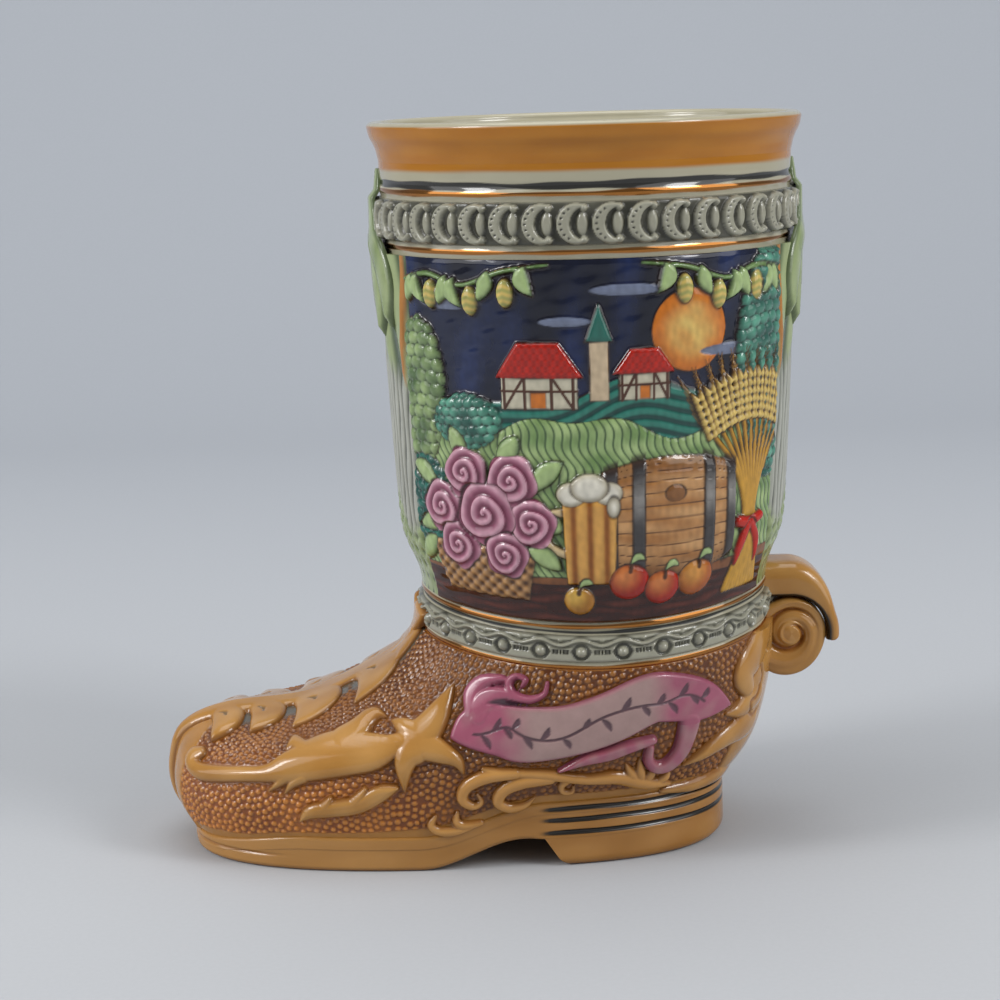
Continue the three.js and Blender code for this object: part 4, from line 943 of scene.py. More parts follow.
clay_piece("spur_strap", horn_points, slab_faces(*horn_n.shape), mix(horn_tan, GROOVE_BLACK, black_line),
           tan_glaze, ["spur_strap"])


def pole_faces(rows, columns):
    """Faces of a grid wrapped round an axis and closed by one point at each end: first, grid, last."""
    grid = 1 + np.arange(rows * columns).reshape(rows, columns)
    ring = np.roll(grid, -1, 1)
    last = np.full(columns, 1 + rows * columns)
    quads = np.stack([grid[:-1], ring[:-1], ring[1:], grid[1:]], -1).reshape(-1, 4)
    tips = [np.stack([np.zeros(columns, int), ring[0], grid[0]], 1), np.stack([last, grid[-1], ring[-1]], 1)]
    return quads, np.concatenate(tips)


face_r = (VOLUTE_RADIUS - VOLUTE_ROUND) * np.linspace(0, 1, 37)[1:]
corner = np.radians(np.linspace(0, 90, 10)[1:])
side_r = np.concatenate([face_r, VOLUTE_RADIUS - VOLUTE_ROUND + VOLUTE_ROUND * np.sin(corner)])
side_y = VOLUTE_HALF_WIDTH - np.concatenate([0 * face_r, VOLUTE_ROUND * (1 - np.cos(corner))])
profile_r = np.concatenate([side_r, side_r[::-1]])[:, None]
profile_y = np.concatenate([side_y, -side_y[::-1]])[:, None]
spin = np.arange(128) / 128 * 2 * np.pi
wind = (VOLUTE_RADIUS - profile_r) / VOLUTE_PITCH - spin / (2 * np.pi)
wave = np.abs((wind + 0.15) % 1.0 - 0.5) * 2
groove = smooth(wave, 0.42, 0.0) * smooth(profile_r, 1.4, 2.2) * smooth(profile_r, 6.0, 5.0)
boss = VOLUTE_BOSS * dome(profile_r, 2.8)
ridge = VOLUTE_RIDGE * smooth(wave, 0.4, 0.9) * smooth(profile_r, 1.6, 2.4)
face_y = np.sign(profile_y) * (np.abs(profile_y) + boss + ridge - VOLUTE_GROOVE * groove)
clockwise = np.degrees(-spin) % 360
flow = VOLUTE_FLOW * smooth(clockwise, 10, 115) * smooth(clockwise, 255, 150)
wound_r = profile_r + flow * smooth(profile_r, 2.5, VOLUTE_RADIUS)
volute_grid = np.stack([VOLUTE_CENTRE[0] + wound_r * np.cos(spin), face_y,
                        VOLUTE_CENTRE[1] + wound_r * np.sin(spin)], -1).reshape(-1, 3)
first_tip, last_tip = ([[VOLUTE_CENTRE[0], face_y[row, 0], VOLUTE_CENTRE[1]]] for row in (0, -1))
volute_tan = tan_paint(np.full(wave.shape, FAR), BRUSH_RING * np.cos(spin) + 0 * profile_r,
                       profile_r + 0 * spin, 7.0)
volute_paint = mix(volute_tan, GROOVE_BROWN, 0.85 * groove).reshape(-1, 3)
clay_piece("spur_volute", np.concatenate([first_tip, volute_grid, last_tip]), pole_faces(*wave.shape),
           np.concatenate([volute_paint[:1], volute_paint, volute_paint[-1:]]), tan_glaze, ["spur_volute"])

# The leg's shaft: a thrown cylinder of cream-glazed stoneware, drawn in to a waist above the ankle and
# flared to the head, luted on to the foot. Fine lines in black and in gilt ring it above and below each
# moulded band.
LEG_HEAD_RADIUS, LEG_SWELL = 42.8, 0.6
LEG_WAIST, WAIST_HEIGHT, WAIST_SPAN = 1.8, ANKLE_HEIGHT + 11, 7.5
SWEEP_FOOT, SWEEP_HEAD = 54.0, 84.0
_, leg_high = in_mm(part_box("leg_shaft"))
RIM_SEAT = leg_high[2]


def leg_radius(z):
    """Outer radius of the leg by height: ankle to head, swelling early, less a round waist."""
    share = np.clip((z - ANKLE_HEIGHT) / (RIM_SEAT - ANKLE_HEIGHT), 0, 1)
    waist = LEG_WAIST * np.exp(-((z - WAIST_HEIGHT) / WAIST_SPAN) ** 2)
    return ANKLE_RADIUS + (LEG_HEAD_RADIUS - ANKLE_RADIUS) * share ** LEG_SWELL - waist


def swept(angle, z):
    """Height of a ring round the leg: the ankle's rings sweep up at shin and calf, those above lie level."""
    return z + ANKLE_SWEEP * np.cos(angle) ** 2 * smooth(z, SWEEP_HEAD, SWEEP_FOOT)


def on_leg(radius, angle, z):
    """Points round the leg's axis at a radius and an angle, at the height of a ring."""
    return np.stack([radius * np.cos(angle), radius * np.sin(angle), swept(angle, z)], -1)


def leg_window(half_angle, low, high, columns, rows):
    """A grid on the leg to both sides of an upright line: angles from that line, and heights."""
    angles = np.radians(np.linspace(-half_angle, half_angle, columns))
    return np.meshgrid(angles, np.linspace(low, high, rows))


def ring_piece(name, radius, z, colour, coat, gilt=0.0):
    """A closed ring about the leg's axis: rows run up the outside, over, and down the inside."""
    rows, columns = radius.shape
    angle = np.arange(columns) / columns * 2 * np.pi
    grid = np.arange(rows * columns).reshape(rows, columns)
    above, beside = np.roll(grid, -1, 0), np.roll(grid, -1, 1)
    quads = np.stack([grid, beside, np.roll(beside, -1, 0), above], -1).reshape(-1, 4)
    points = on_leg(radius, angle, z + 0 * radius)
    clay_piece(name, points, (quads, NO_TRIANGLES), colour, coat, [name], gilt=gilt)


GILT, LINE_BLACK, CREAM_DEEP, AMBER, AMBER_PALE = paints("#ae743c #2a2926 #a6a28e #a5670f #ac6f18")
AMBER_FOOT = RIM_SEAT - 1.5
GILT_LINES, GILT_HALF_WIDTH, GILT_RISE = (43.4, 51.7, 127.0, 138.2), (0.54, 0.45, 0.45, 0.5), 0.35
BLACK_LINES, BLACK_HALF_WIDTH, BLACK_SINK = (50.6, 139.75), (0.32, 0.75), 0.2
# Stretches of the shaft from the ankle up, each with its number of rows: close where a line is drawn.
SHAFT_RUNS = [(40.0, 44.4, 27), (44.6, 49.8, 3), (50.0, 52.8, 21), (54.0, 124.0, 18), (125.2, 128.4, 23),
              (129.0, 136.0, 3), (136.6, RIM_SEAT, 49)]
INNER_STRIDE, TUCK, TUCK_HEIGHT = 4, 2.6, 1.6
outer_z = np.concatenate([np.linspace(*run) for run in SHAFT_RUNS])
turn = np.arange(192) / 192 * 2 * np.pi
z = np.concatenate([outer_z, outer_z[::-INNER_STRIDE]])[:, None]
outside = (np.arange(len(z)) < len(outer_z))[:, None]
waver = 0.06 * np.sin(3 * turn + z) + 0.05 * np.sin(11 * turn + 2 * z)
thick = 1 + 0.22 * np.sin(5 * turn + 1.3) + 0.14 * np.sin(17 * turn)


def drawn_lines(lines, widths):
    """How fully each point lies in one of the painted lines, with the brush's waver."""
    shares = [smooth(np.abs(z - line + waver), width * thick + 0.1, width * thick - 0.1)
              for line, width in zip(lines, widths)]
    return sum(shares) * outside


def amber_paint(z):
    """Amber round the head by height, streaked by the turning of the brush."""
    return mix(AMBER, AMBER_PALE, dab(12 * turn, z * 4, 9, 2.2))


gilt_share = drawn_lines(GILT_LINES, GILT_HALF_WIDTH)
black_share = drawn_lines(BLACK_LINES, BLACK_HALF_WIDTH)
swell = sum(GILT_RISE * np.exp(-((z - line) / 0.75) ** 2) for line in GILT_LINES)
swell = swell - sum(BLACK_SINK * np.exp(-((z - line) / 0.6) ** 2) for line in BLACK_LINES)
tucked = TUCK * smooth(z, ANKLE_HEIGHT, ANKLE_HEIGHT - TUCK_HEIGHT)
shaft_radius = np.where(outside, leg_radius(z) + swell - tucked, leg_radius(z) - WALL) + 0 * turn
shaft_paint = mix(CREAM, CREAM_DEEP, 0.5 * dab(40 * turn, z, 23, 1.0))
shaft_paint = mix(mix(shaft_paint, LINE_BLACK, black_share), GILT, gilt_share)
amber_share = outside * smooth(z + waver, AMBER_FOOT - 0.5, AMBER_FOOT + 0.5)
shaft_paint = mix(shaft_paint, amber_paint(z), amber_share)
# Cream glaze: thick, very glossy and smooth; the gilding on it is a thin mirror of gold lustre.
cream_glaze = glazed("cream_glaze", 20.0, 0.03, 0.09, 0.04)
ring_piece("leg_shaft", shaft_radius, z, shaft_paint, (cream_glaze, "cream_glaze"), gilt_share)

# The floor inside the foot: the bottom of the cast shell, which closes the upper over the sole and carries
# the same cream glaze as the inside of the leg.
FLOOR_DROP, FLOOR_RISE, FLOOR_INSET = 0.2, 3.0, 2.6
floor_x, floor_y = sole_outline(np.arange(160) / 80)
floor_feather = feather_height(floor_x)
slab("foot_floor", floor_x, floor_y, floor_feather - WELT_THICKNESS + FLOOR_DROP, floor_feather + FLOOR_RISE,
     5, "foot_upper", (cream_glaze, "brown_glaze"), -FLOOR_INSET, plain=CREAM)

# The rim: a flared lip thrown with the leg, brushed amber outside and left cream over its edge and within.
# The amber runs down over the join on to the head of the leg.
RIM_TOP = rim_high[2]
RIM_RADIUS = rim_high[0] - LEG_AXIS
EDGE_DEEP, EDGE_HIGH = 1.4, 1.1
rim_outer = spline(np.array([(42.7, RIM_SEAT - 0.3), (42.95, RIM_SEAT + 0.7), (43.25, RIM_SEAT + 2.1),
                             (43.8, RIM_SEAT + 3.5), (44.55, RIM_SEAT + 5), (45.0, RIM_TOP - EDGE_HIGH)]),
                   np.linspace(0, 1, 40))
bend = np.radians(np.linspace(0, 180, 25)[1:])
rim_edge = np.stack([RIM_RADIUS - EDGE_DEEP + EDGE_DEEP * np.cos(bend),
                     RIM_TOP - EDGE_HIGH + EDGE_HIGH * np.sin(bend)], 1)
rim_inner = spline(np.array([(RIM_RADIUS - 2.9, RIM_TOP - 1.4), (41.0, RIM_TOP - 3.2), (39.4, RIM_TOP - 6),
                             (38.4, RIM_SEAT - 0.3)]), np.linspace(0, 1, 16))
rim_profile = np.concatenate([rim_outer, rim_edge, rim_inner])
rim_r, rim_z = rim_profile[:, :1], rim_profile[:, 1:]
brushed = (np.arange(len(rim_profile)) < len(rim_outer) + len(rim_edge) // 2)[:, None]
rim_share = smooth(rim_z, RIM_TOP - 0.55, RIM_TOP - 1.0) * brushed + 0 * turn
# Amber glaze: iron-stained, glossy, streaked by the banding brush.
amber_glaze = (glazed("amber_glaze", 11.0, 0.05, 0.12, 0.05), "amber_glaze")
ring_piece("rim_lip", rim_r + 0 * turn, rim_z, mix(CREAM, amber_paint(rim_z), rim_share), amber_glaze)

# The two moulded bands: strips of clay rolled from carved moulds and luted round the leg, cream-grey with
# a dark wash rubbed into the hollows. The collar is a chain of beaded crescents, the ankle band a row of
# bosses under a waved rail.
BAND_CREAM, BAND_WASH = paints("#969483 #39382e")
UNIT_STEPS, BAND_GROUND, BAND_ROUND, BAND_ROOT, BAND_BEVEL = 28, 1.35, 0.9, 0.6, 0.4
CRESCENT_RADIUS, BITE_RADIUS, BITE_SHIFT = 4.0, 3.0, 1.75
LENS_SHIFT, LENS_HALF_WIDTH, LENS_HALF_HEIGHT = 1.15, 1.2, 2.5
BULB_RADIUS, BULB_SHIFT, BULB_RISE = 0.85, 1.5, 3.05
PIT_RADIUS, PIT_RING, PIT_ANGLES = 0.24, 3.12, np.radians(np.linspace(118, 242, 7))


def band_piece(name, height, wash, units, rows):
    """A moulded band round the leg from one repeat of its height (mm) and wash over (arc, up) in mm."""
    low, high = in_mm(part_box(name))
    outer = high[1]
    columns = units * UNIT_STEPS
    unit = 2 * np.pi * outer / units
    arc = (np.arange(columns) % UNIT_STEPS / UNIT_STEPS - 0.5) * unit
    middle = (low[2] + high[2]) / 2
    rise = np.linspace(low[2], high[2], rows)[:, None]
    round_off = BAND_ROUND * (1 - rounded_edge(np.minimum(rise - low[2], high[2] - rise), BAND_ROUND))
    radius = np.concatenate([outer - BAND_GROUND + height(arc, rise - middle, unit) - round_off,
                             np.full((2, columns), leg_radius(middle) - BAND_ROOT)])
    z = np.concatenate([rise, [[high[2] - BAND_BEVEL], [low[2] + BAND_BEVEL]]])
    brush = dab(np.arange(columns) / UNIT_STEPS * unit, 2 * rise, 14, 3.0)
    worn = np.clip(wash(arc, rise - middle, unit), 0, 1) * (0.8 + 0.25 * brush)
    colour = mix(BAND_CREAM, BAND_WASH, np.clip(worn, 0, 1))
    colour = np.concatenate([colour, np.broadcast_to(BAND_CREAM, (2, columns, 3))])
    ring_piece(name, radius, z, colour, pewter_glaze)


def crescents(arc, up, unit):
    """Depths inside the crescents' bodies, their lenses, their curled tips and their rows of pits."""
    body, lens, tips, pits = (np.full(np.broadcast(arc, up).shape, -FAR) for _ in range(4))
    for shift in (-unit, 0, unit):
        a = arc - shift
        bite = np.hypot(a - BITE_SHIFT, up) - BITE_RADIUS
        body = np.maximum(body, np.minimum(CRESCENT_RADIUS - np.hypot(a, up), bite))
        lens = np.maximum(lens, 1 - np.hypot((a - LENS_SHIFT) / LENS_HALF_WIDTH, up / LENS_HALF_HEIGHT))
        for side in (-1, 1):
            tips = np.maximum(tips, BULB_RADIUS - np.hypot(a - BULB_SHIFT, up - BULB_RISE * side))
        for spot in PIT_ANGLES:
            away = np.hypot(a - PIT_RING * np.cos(spot), up - PIT_RING * np.sin(spot))
            pits = np.maximum(pits, PIT_RADIUS - away)
    return body, lens, tips, pits


def collar_height(arc, up, unit):
    """Rounded crescents with raised lenses and bulbs, and small pits along each crescent's back."""
    body, lens, tips, pits = crescents(arc, up, unit)
    rounded = 1.1 * rounded_edge(body, 0.55)
    rounded = np.maximum(rounded, 0.85 * np.sqrt(np.clip(lens / 0.5, 0, 1)))
    rounded = np.maximum(rounded, 1.35 * np.sqrt(np.clip(tips / 0.7, 0, 1)))
    return rounded - 0.45 * smooth(pits, -0.05, 0.15)


def collar_wash(arc, up, unit):
    """Dark in the hollows and pits."""
    hollow = smooth(collar_height(arc, up, unit), 0.75, 0.1)
    pitted = 0.75 * smooth(crescents(arc, up, unit)[3], -0.08, 0.1)
    return np.maximum(hollow, pitted) * smooth(np.abs(up), 4.4, 3.9)


BOSS_DROP, BOSS_RADIUS, RAIL_HALF_WIDTH = 0.55, 1.15, 0.34


def link_shapes(arc, up, unit):
    """Depths inside a boss, the eye about it, the bars between eyes, the waved rail and its tick."""
    level = up + BOSS_DROP
    boss = BOSS_RADIUS - np.hypot(arc, level)
    eye = 1 - np.hypot(arc / 2.25, level / 1.75) - 0.25 * smooth(np.abs(arc), 0.8, 2.2) * np.abs(level)
    slots = np.minimum(0.5 - np.abs(level), np.abs(arc) - 2.35)
    slots = np.minimum(slots, 0.27 - np.abs((np.abs(arc) - 2.5) % 0.74 - 0.37))
    wave = 1.35 + 0.55 * np.cos(2 * np.pi * arc / unit)
    rail = RAIL_HALF_WIDTH - np.abs(up - wave)
    tick = 0.42 - np.hypot(np.abs(arc) - unit / 2, (up - 1.75) / 1.3)
    return boss, eye, slots, rail, tick


def ankle_height(arc, up, unit):
    """Round bosses in sunk eyes, joined by a slotted bar under a waved rail."""
    boss, eye, slots, rail, tick = link_shapes(arc, up, unit)
    sunk = 0.5 * smooth(eye, -0.05, 0.12) * smooth(eye, 0.75, 0.55) + 0.4 * smooth(slots, -0.05, 0.15)
    rails = 0.45 * np.sqrt(np.clip(np.maximum(rail, tick) / RAIL_HALF_WIDTH, 0, 1))
    beside = 0.35 * smooth(np.abs(up - 1.1), 1.0, 0.5) * (rail < 0)
    return np.maximum(0.55 - sunk + rails - beside, 1.3 * np.sqrt(np.clip(boss / 1.05, 0, 1)))


def ankle_wash(arc, up, unit):
    """Dark round each boss, in the slots and beside the rail."""
    boss, eye, slots, rail, _ = link_shapes(arc, up, unit)
    ring = smooth(eye, -0.1, 0.1) * smooth(boss, 0.15, -0.1)
    beside = 0.6 * smooth(rail, 0.0, -0.12) * smooth(rail, -0.75, -0.3) + 0.5 * smooth(np.abs(up), 2.3, 2.7)
    return np.maximum(np.maximum(ring, smooth(slots, -0.1, 0.1)), beside) * (boss < 0.2)


# Grey-cream glaze with a rubbed dark wash: semi-gloss, tops worn pale.
pewter_glaze = (glazed("washed_cream_glaze", 3.0, 0.07, 0.15, 0.06), "pewter_glaze")
band_piece("collar_band", collar_height, collar_wash, 40, 45)
band_piece("ankle_band", ankle_height, ankle_wash, 28, 37)

# The shin and calf strips between the pictures: long tiles pressed in a mould and luted to the leg, with
# drooping leaf folds at the head, pale reeds in the middle and a bush at the foot, washed green and grey.
MOSS, MOSS_PALE, MOSS_DEEP = paints("#7a8a58 #98a478 #445338")
REED, REED_DEEP, ORANGE = paints("#a5a69b #454840 #b0763a")
strip_low, strip_high = in_mm(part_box("shin_trunk"))
STRIP_LOW, STRIP_HIGH, STRIP_HALF_ANGLE, STRIP_ARC_RADIUS = strip_low[2], strip_high[2], 28.6, 41.0
STRIP_COARSE, STRIP_SEAT, TILE_ROOT, PIPING_RISE = 4, 0.25, 0.2, 0.4
SHIN, CALF = np.pi, 0.0
offset, z = leg_window(STRIP_HALF_ANGLE, STRIP_LOW, STRIP_HIGH, 113, 181)
arc = offset * STRIP_ARC_RADIUS
side = np.abs(arc)
head = smooth(z + 0.35 * side, 103, 109)
foot = smooth(z - 4 * np.sin(side / 3.1), 73, 68)
reed = np.sqrt(np.abs(np.sin(arc * 1.25 + 0.9 * np.sin(z / 9.0) + 0.35 * np.sin(z / 3.3 + arc))))
fold = 0.5 + 0.5 * np.cos(side * 0.62 + (z - 100) * 0.16)
tuft_u, tuft_v = arc / 3.6 + 0.5 * (np.floor(z / 3.2) % 2), z / 3.2
tuft = np.hypot(tuft_u - np.rint(tuft_u), 0.8 * (tuft_v - np.rint(tuft_v)))
tuft_top = dome(tuft, 0.56)
piping = smooth(np.abs(side - 19.3 + 0.0016 * (STRIP_HIGH - z) ** 2), 0.8, 0.5) * smooth(z, 98, 102)
body = 0.55 * dome(side, 21)
height = body + (1 - head) * (1 - foot) * 0.7 * reed + head * 0.9 * fold + foot * 0.8 * tuft_top
edge_fade = smooth(np.radians(STRIP_HALF_ANGLE) * STRIP_ARC_RADIUS - side, 0.0, 1.6) * smooth(z, 52, 66)
front_radius = leg_radius(z) + STRIP_SEAT + edge_fade * height + PIPING_RISE * piping
reeds = mix(REED_DEEP, REED, smooth(reed, 0.32, 0.92))
folds = mix(MOSS_DEEP, MOSS_PALE, smooth(fold, 0.0, 0.6))
bush = mix(MOSS_DEEP, mix(MOSS, MOSS_PALE, dab(arc, z, 5, 1.0)), smooth(tuft_top, 0.1, 0.7))
strip_paint = mix(mix(mix(reeds, folds, head), bush, foot), ORANGE, piping)
# Moss and reed glaze: thin green wash over pale clay, glossy.
moss_glaze = (glazed("moss_wash_glaze", 7.0, 0.1, 0.16, 0.1), "moss_glaze")
for name, centre in (("shin_trunk", SHIN), ("calf_trunk", CALF)):
    angle = centre + offset
    clay_tile(name, on_leg(front_radius, angle, z), on_leg(leg_radius(z) - TILE_ROOT, angle, z), strip_paint,
              MOSS, STRIP_COARSE, moss_glaze, [name])

# The hanging leaves: a lobed leaf moulded over the collar at the shin and at the calf, narrow where it
# crosses the collar and broad below, with its points down the strip, pale green with darker veins.
LEAF_ARC_RADIUS, LEAF_HALF_ANGLE, LEAF_LIFT, VEIN_CUT = 44.0, 29, 1.5, 0.4
LEAF_SEAT = [(96, leg_radius(96) + 1.2), (124, leg_radius(124) + 1.5), (129, 44.2), (136.6, 44.2),
             (138.2, 43.0), (143, 42.5)]
HANGING_LEAF = [
    stroke([(0, 141), (0, 137.5), (0, 132), (0, 126), (0, 119), (0, 112)], [2.5, 5, 6.6, 9, 8.5, 0.4]),
    stroke([(4, 127), (9.5, 124.4), (13.6, 119), (15.2, 111)], [4, 4.6, 4, 0.4]),
    stroke([(2, 122), (7, 115.6), (9, 108.5)], [5, 4, 0.4]),
]
LEAF_VEINS = [
    stroke([(0, 141), (0, 128), (0, 114)], [0.45, 0.4, 0.15]),
    stroke([(0.5, 129.5), (6, 126.4), (11, 121), (14.2, 114)], [0.3, 0.35, 0.3, 0.12]),
    stroke([(0.5, 124), (4.2, 119), (7.4, 111.6)], [0.3, 0.3, 0.12]),
]


def leg_seat(profile):
    """A surface round the leg through (height, radius) points; outwards is away from the axis."""
    heights, radii = np.array(profile).T

    def surface(angle, z):
        """Points of the seat and its outward normals."""
        out = np.stack([np.cos(angle), np.sin(angle), 0 * angle], -1)
        return np.interp(z, heights, radii)[..., None] * out + np.stack([0 * z, 0 * z, z], -1), out

    return surface


offset, z = leg_window(LEAF_HALF_ANGLE, 106, 142.4, 129, 129)
arc = np.abs(offset) * LEAF_ARC_RADIUS
depth, top = relief(arc, z, HANGING_LEAF, LEAF_LIFT)
top = top * (1 - 0.4 * smooth(z, 126, 131))
vein_depth, vein_cut = relief(arc, z, LEAF_VEINS, VEIN_CUT)
shaded = np.maximum(0.7 * smooth(depth, 0.9, 0.1), 0.75 * smooth(vein_depth, -0.2, 0.15))
leaf_paint = mix(mix(MOSS, MOSS_PALE, dab(arc, z, 9, 2.0)), MOSS_DEEP, shaded)
for name, centre in (("shin_leaf", SHIN), ("calf_leaf", CALF)):
    sprig(name, centre + offset, z, depth, np.maximum(top - vein_cut, 0), leaf_paint, moss_glaze, MIDDLE,
          leg_seat(LEAF_SEAT))

# The tongue of the crest: the crest's top end of tan clay, carried up over the ankle band at the shin and
# luted to it, with a barb to each side.
TONGUE_ARC_RADIUS, TONGUE_HALF_ANGLE, TONGUE_LIFT, TONGUE_EDGE = 38.5, 24, 1.5, 1.3
TONGUE = [
    stroke([(0, 40), (0, 44), (0, 47), (0, 49.4)], [5.6, 5.2, 4.6, 3.0]),
    stroke([(0, 46), (5, 48.2), (11.6, 49.4)], [3.6, 3.2, 0.6]),
]
TONGUE_SEAT = [(42, 39.6), (44, 38.2), (46, 37.4), (48, 37.05), (54, 36.8)]
offset, z = leg_window(TONGUE_HALF_ANGLE, 42, 54, 129, 97)
arc = np.abs(offset) * TONGUE_ARC_RADIUS
depth, top = relief(arc, z, TONGUE, TONGUE_LIFT, TONGUE_EDGE)
sprig("crest_tongue", SHIN + offset, z, depth, top, tan_paint(depth, arc, z, 8.0), tan_glaze, MIDDLE,
      leg_seat(TONGUE_SEAT), "toe_crest")

# The pictures: a low relief on each side of the leg, pressed in a mould in two halves, luted on and painted
# by hand in bright underglaze colours with a dark wash round every form. It shows a harvest still life
# before a village at dusk.
panel_low, panel_high = in_mm(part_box("scene_panel_left"))
PANEL_HALF_ANGLE, PANEL_ARC_RADIUS, PANEL_SEAT = 61.0, 41.5, 0.35
PANEL_HALF_ARC = np.radians(PANEL_HALF_ANGLE) * PANEL_ARC_RADIUS
PANEL_COLUMNS, PANEL_ROWS, PANEL_COARSE = 401, 313, 8
NAVY, NAVY_PALE, INK, CLOUD = paints("#070b1d #1b2a54 #2a1c14 #8f97a8")
TEAL, TEAL_PALE, TEAL_DEEP = paints("#2f7263 #5c9c84 #173f3a")
LEAF, LEAF_PALE, LEAF_DEEP = paints("#6e8a52 #9bb077 #3c5736")
PETAL, PETAL_PALE, PETAL_DEEP = paints("#a4637a #c495a3 #6d2b45")
SCARLET, SCARLET_DEEP, FLAME = paints("#b01e0c #741409 #bd6a20")
STRAW, STRAW_PALE, STRAW_DEEP = paints("#b98a2c #cdb061 #6b4212")
OAK, OAK_PALE, OAK_DEEP = paints("#9a6838 #b98d5d #4c2b17")
BOARD, BOARD_PALE, PLASTER, TIMBER = paints("#30120b #56261a #b9b29c #46281a")
IRON, IRON_PALE, GLASS, GLASS_PALE = paints("#3d3a3a #7d7a76 #6f5a3c #b8a37c")
BEER, FOAM, FOAM_PALE = paints("#8a4f14 #a79f8a #cfcabb")
a, z = np.meshgrid(np.linspace(-PANEL_HALF_ARC, PANEL_HALF_ARC, PANEL_COLUMNS),
                   np.linspace(panel_low[2], panel_high[2], PANEL_ROWS))
height = 0.25 + 0.1 * dab(a, z, 5, 1.0)
colour = mix(NAVY, NAVY_PALE, 0.75 * dab(a, 0.35 * z, 15, 2.0) ** 2)


def lay(depth, level, swell, tint, bend=2.0, ink=0.9):
    """Lay a moulded, painted form over the picture: it rounds up from its outline, which is lined in ink."""
    height[:] = np.where(depth > 0, level + swell * rounded_edge(depth, bend), height)
    brush = dab(a, z, 8, 7 * level + 3 * swell)
    line = smooth(np.abs(depth + 0.05), 0.12 + 0.26 * brush, 0.04) * (0.35 + 0.65 * brush)
    colour[:] = mix(mix(colour, tint, smooth(depth, -0.1, 0.08)), INK, ink * line)


def oval(centre, radii, lean=0.0):
    """Depth inside an ellipse, leaning by degrees."""
    c, s = np.cos(np.radians(lean)), np.sin(np.radians(lean))
    u, v = a - centre[0], z - centre[1]
    return (1 - np.hypot((c * u + s * v) / radii[0], (c * v - s * u) / radii[1])) * min(radii)


def wedge(*corners):
    """Depth inside a convex outline, corners in order anticlockwise."""
    sides = []
    for (p, q), (r, s) in zip(corners, corners[1:] + corners[:1]):
        sides.append(((r - p) * (z - q) - (s - q) * (a - p)) / np.hypot(r - p, s - q))
    return np.min(sides, axis=0)


def block(left, low, right, high):
    """Depth inside an upright rectangle."""
    return wedge((left, low), (right, low), (right, high), (left, high))


def carve(depth, amount):
    """Raise the picture by an amount inside an outline."""
    height[:] += np.where(depth > 0, amount, 0)


def scales(size, seed):
    """Overlapping round leaves in rows, from 0 between them to 1 at their middles."""
    v = z / size * 1.25 + 0.2 * np.sin(a / 4 + seed)
    u = a / size + 0.5 * (np.rint(v) % 2) + 0.12 * np.sin(5 * np.rint(v) + seed)
    return dome(np.hypot(u - np.rint(u), v - np.rint(v)), 0.58)


def foliage(depth, level, deep, pale, size, seed):
    """A bush: a rounded mass broken into leaves."""
    leaves = scales(size, seed)
    light = np.clip(0.15 + 0.85 * leaves * dab(a, z, 9, seed), 0, 1)
    lay(depth + 0.6 * leaves - 0.4, level, 0.9, mix(deep, pale, light), 4.0, 0.6)
    carve(depth, 0.5 * leaves)


def fronds(strokes, level, lift, deep, pale, ink=0.9):
    """Slender modelled strokes, dark at the edge and pale along the middle."""
    depth, top = relief(a, z, strokes, lift)
    lay(depth, level, 0.0, mix(deep, pale, smooth(top, 0.15 * lift, 0.9 * lift)), 1.0, ink)
    carve(depth, top)


# Sky, harvest moon, hills and hedges.
moon = oval((19, 111), (8.2, 8.2))
lay(moon, 0.35, 0.5, mix(FLAME, STRAW_PALE, smooth(moon, 0.5, 6.5) * (0.5 + 0.5 * dab(a, z, 6, 3.0))), 4.0)
for centre, radii in (((-31, 117), (8, 1.3)), ((6, 119.5), (7, 1.1)), ((30, 106.5), (9, 1.2)),
                      ((-6, 113.5), (5, 0.9))):
    lay(oval(centre, radii), 0.4, 0.15, mix(NAVY_PALE, CLOUD, 0.5), 0.8, 0.0)
far = 99 + 2.6 * np.sin(a / 10 + 0.6) + 1.2 * np.sin(a / 4.3) - z
furrow = 0.5 + 0.5 * np.sin(2.6 * far + 0.25 * a)
lay(far, 0.45, 0.3, mix(TEAL_DEEP, TEAL, smooth(furrow, 0.1, 0.8)), 3.0)
carve(far, 0.12 * furrow)

# The village: two cottages of cream plaster and brown timber under red tiled roofs, and a plain tower.
TIMBER_ENDS = ((-0.9, -0.9), (0.9, 0.9), (-0.35, -0.35), (0.35, 0.35), (-0.9, -0.35), (0.9, 0.35))
EAVES, RIDGE_SHARE = 1.2, 0.55


def cottage(x, low, half, wall, roof):
    """A cottage front with timbers, a lit window and a roof of tiled rows."""
    top, beam = low + wall, low + 0.55 * wall
    lay(block(x - half, low, x + half, top), 0.7, 0.25, PLASTER, 0.6)
    timbers = [stroke([(x + half * k, low), (x + half * m, top)], [0.28, 0.28], 4) for k, m in TIMBER_ENDS]
    timbers.append(stroke([(x - half, beam), (x + half, beam)], [0.26, 0.26], 4))
    fronds(timbers, 0.95, 0.12, TIMBER, TIMBER, 0.0)
    lay(block(x - 0.2 * half, low + 0.2, x + 0.2 * half, low + 0.5 * wall), 0.8, 0.1, FLAME, 0.5, 0.7)
    slope = wedge((x - half - EAVES, top - 0.3), (x + half + EAVES, top - 0.3),
                  (x + RIDGE_SHARE * half, top + roof), (x - RIDGE_SHARE * half, top + roof))
    tiles = 0.5 + 0.5 * np.sin((z - low) * 5.2) * np.cos(a * 4.2 + np.pi * np.rint((z - low) * 0.83))
    lay(slope, 0.85, 0.4, mix(SCARLET_DEEP, SCARLET, 0.35 + 0.65 * tiles), 0.8)
    carve(slope, 0.12 * tiles)


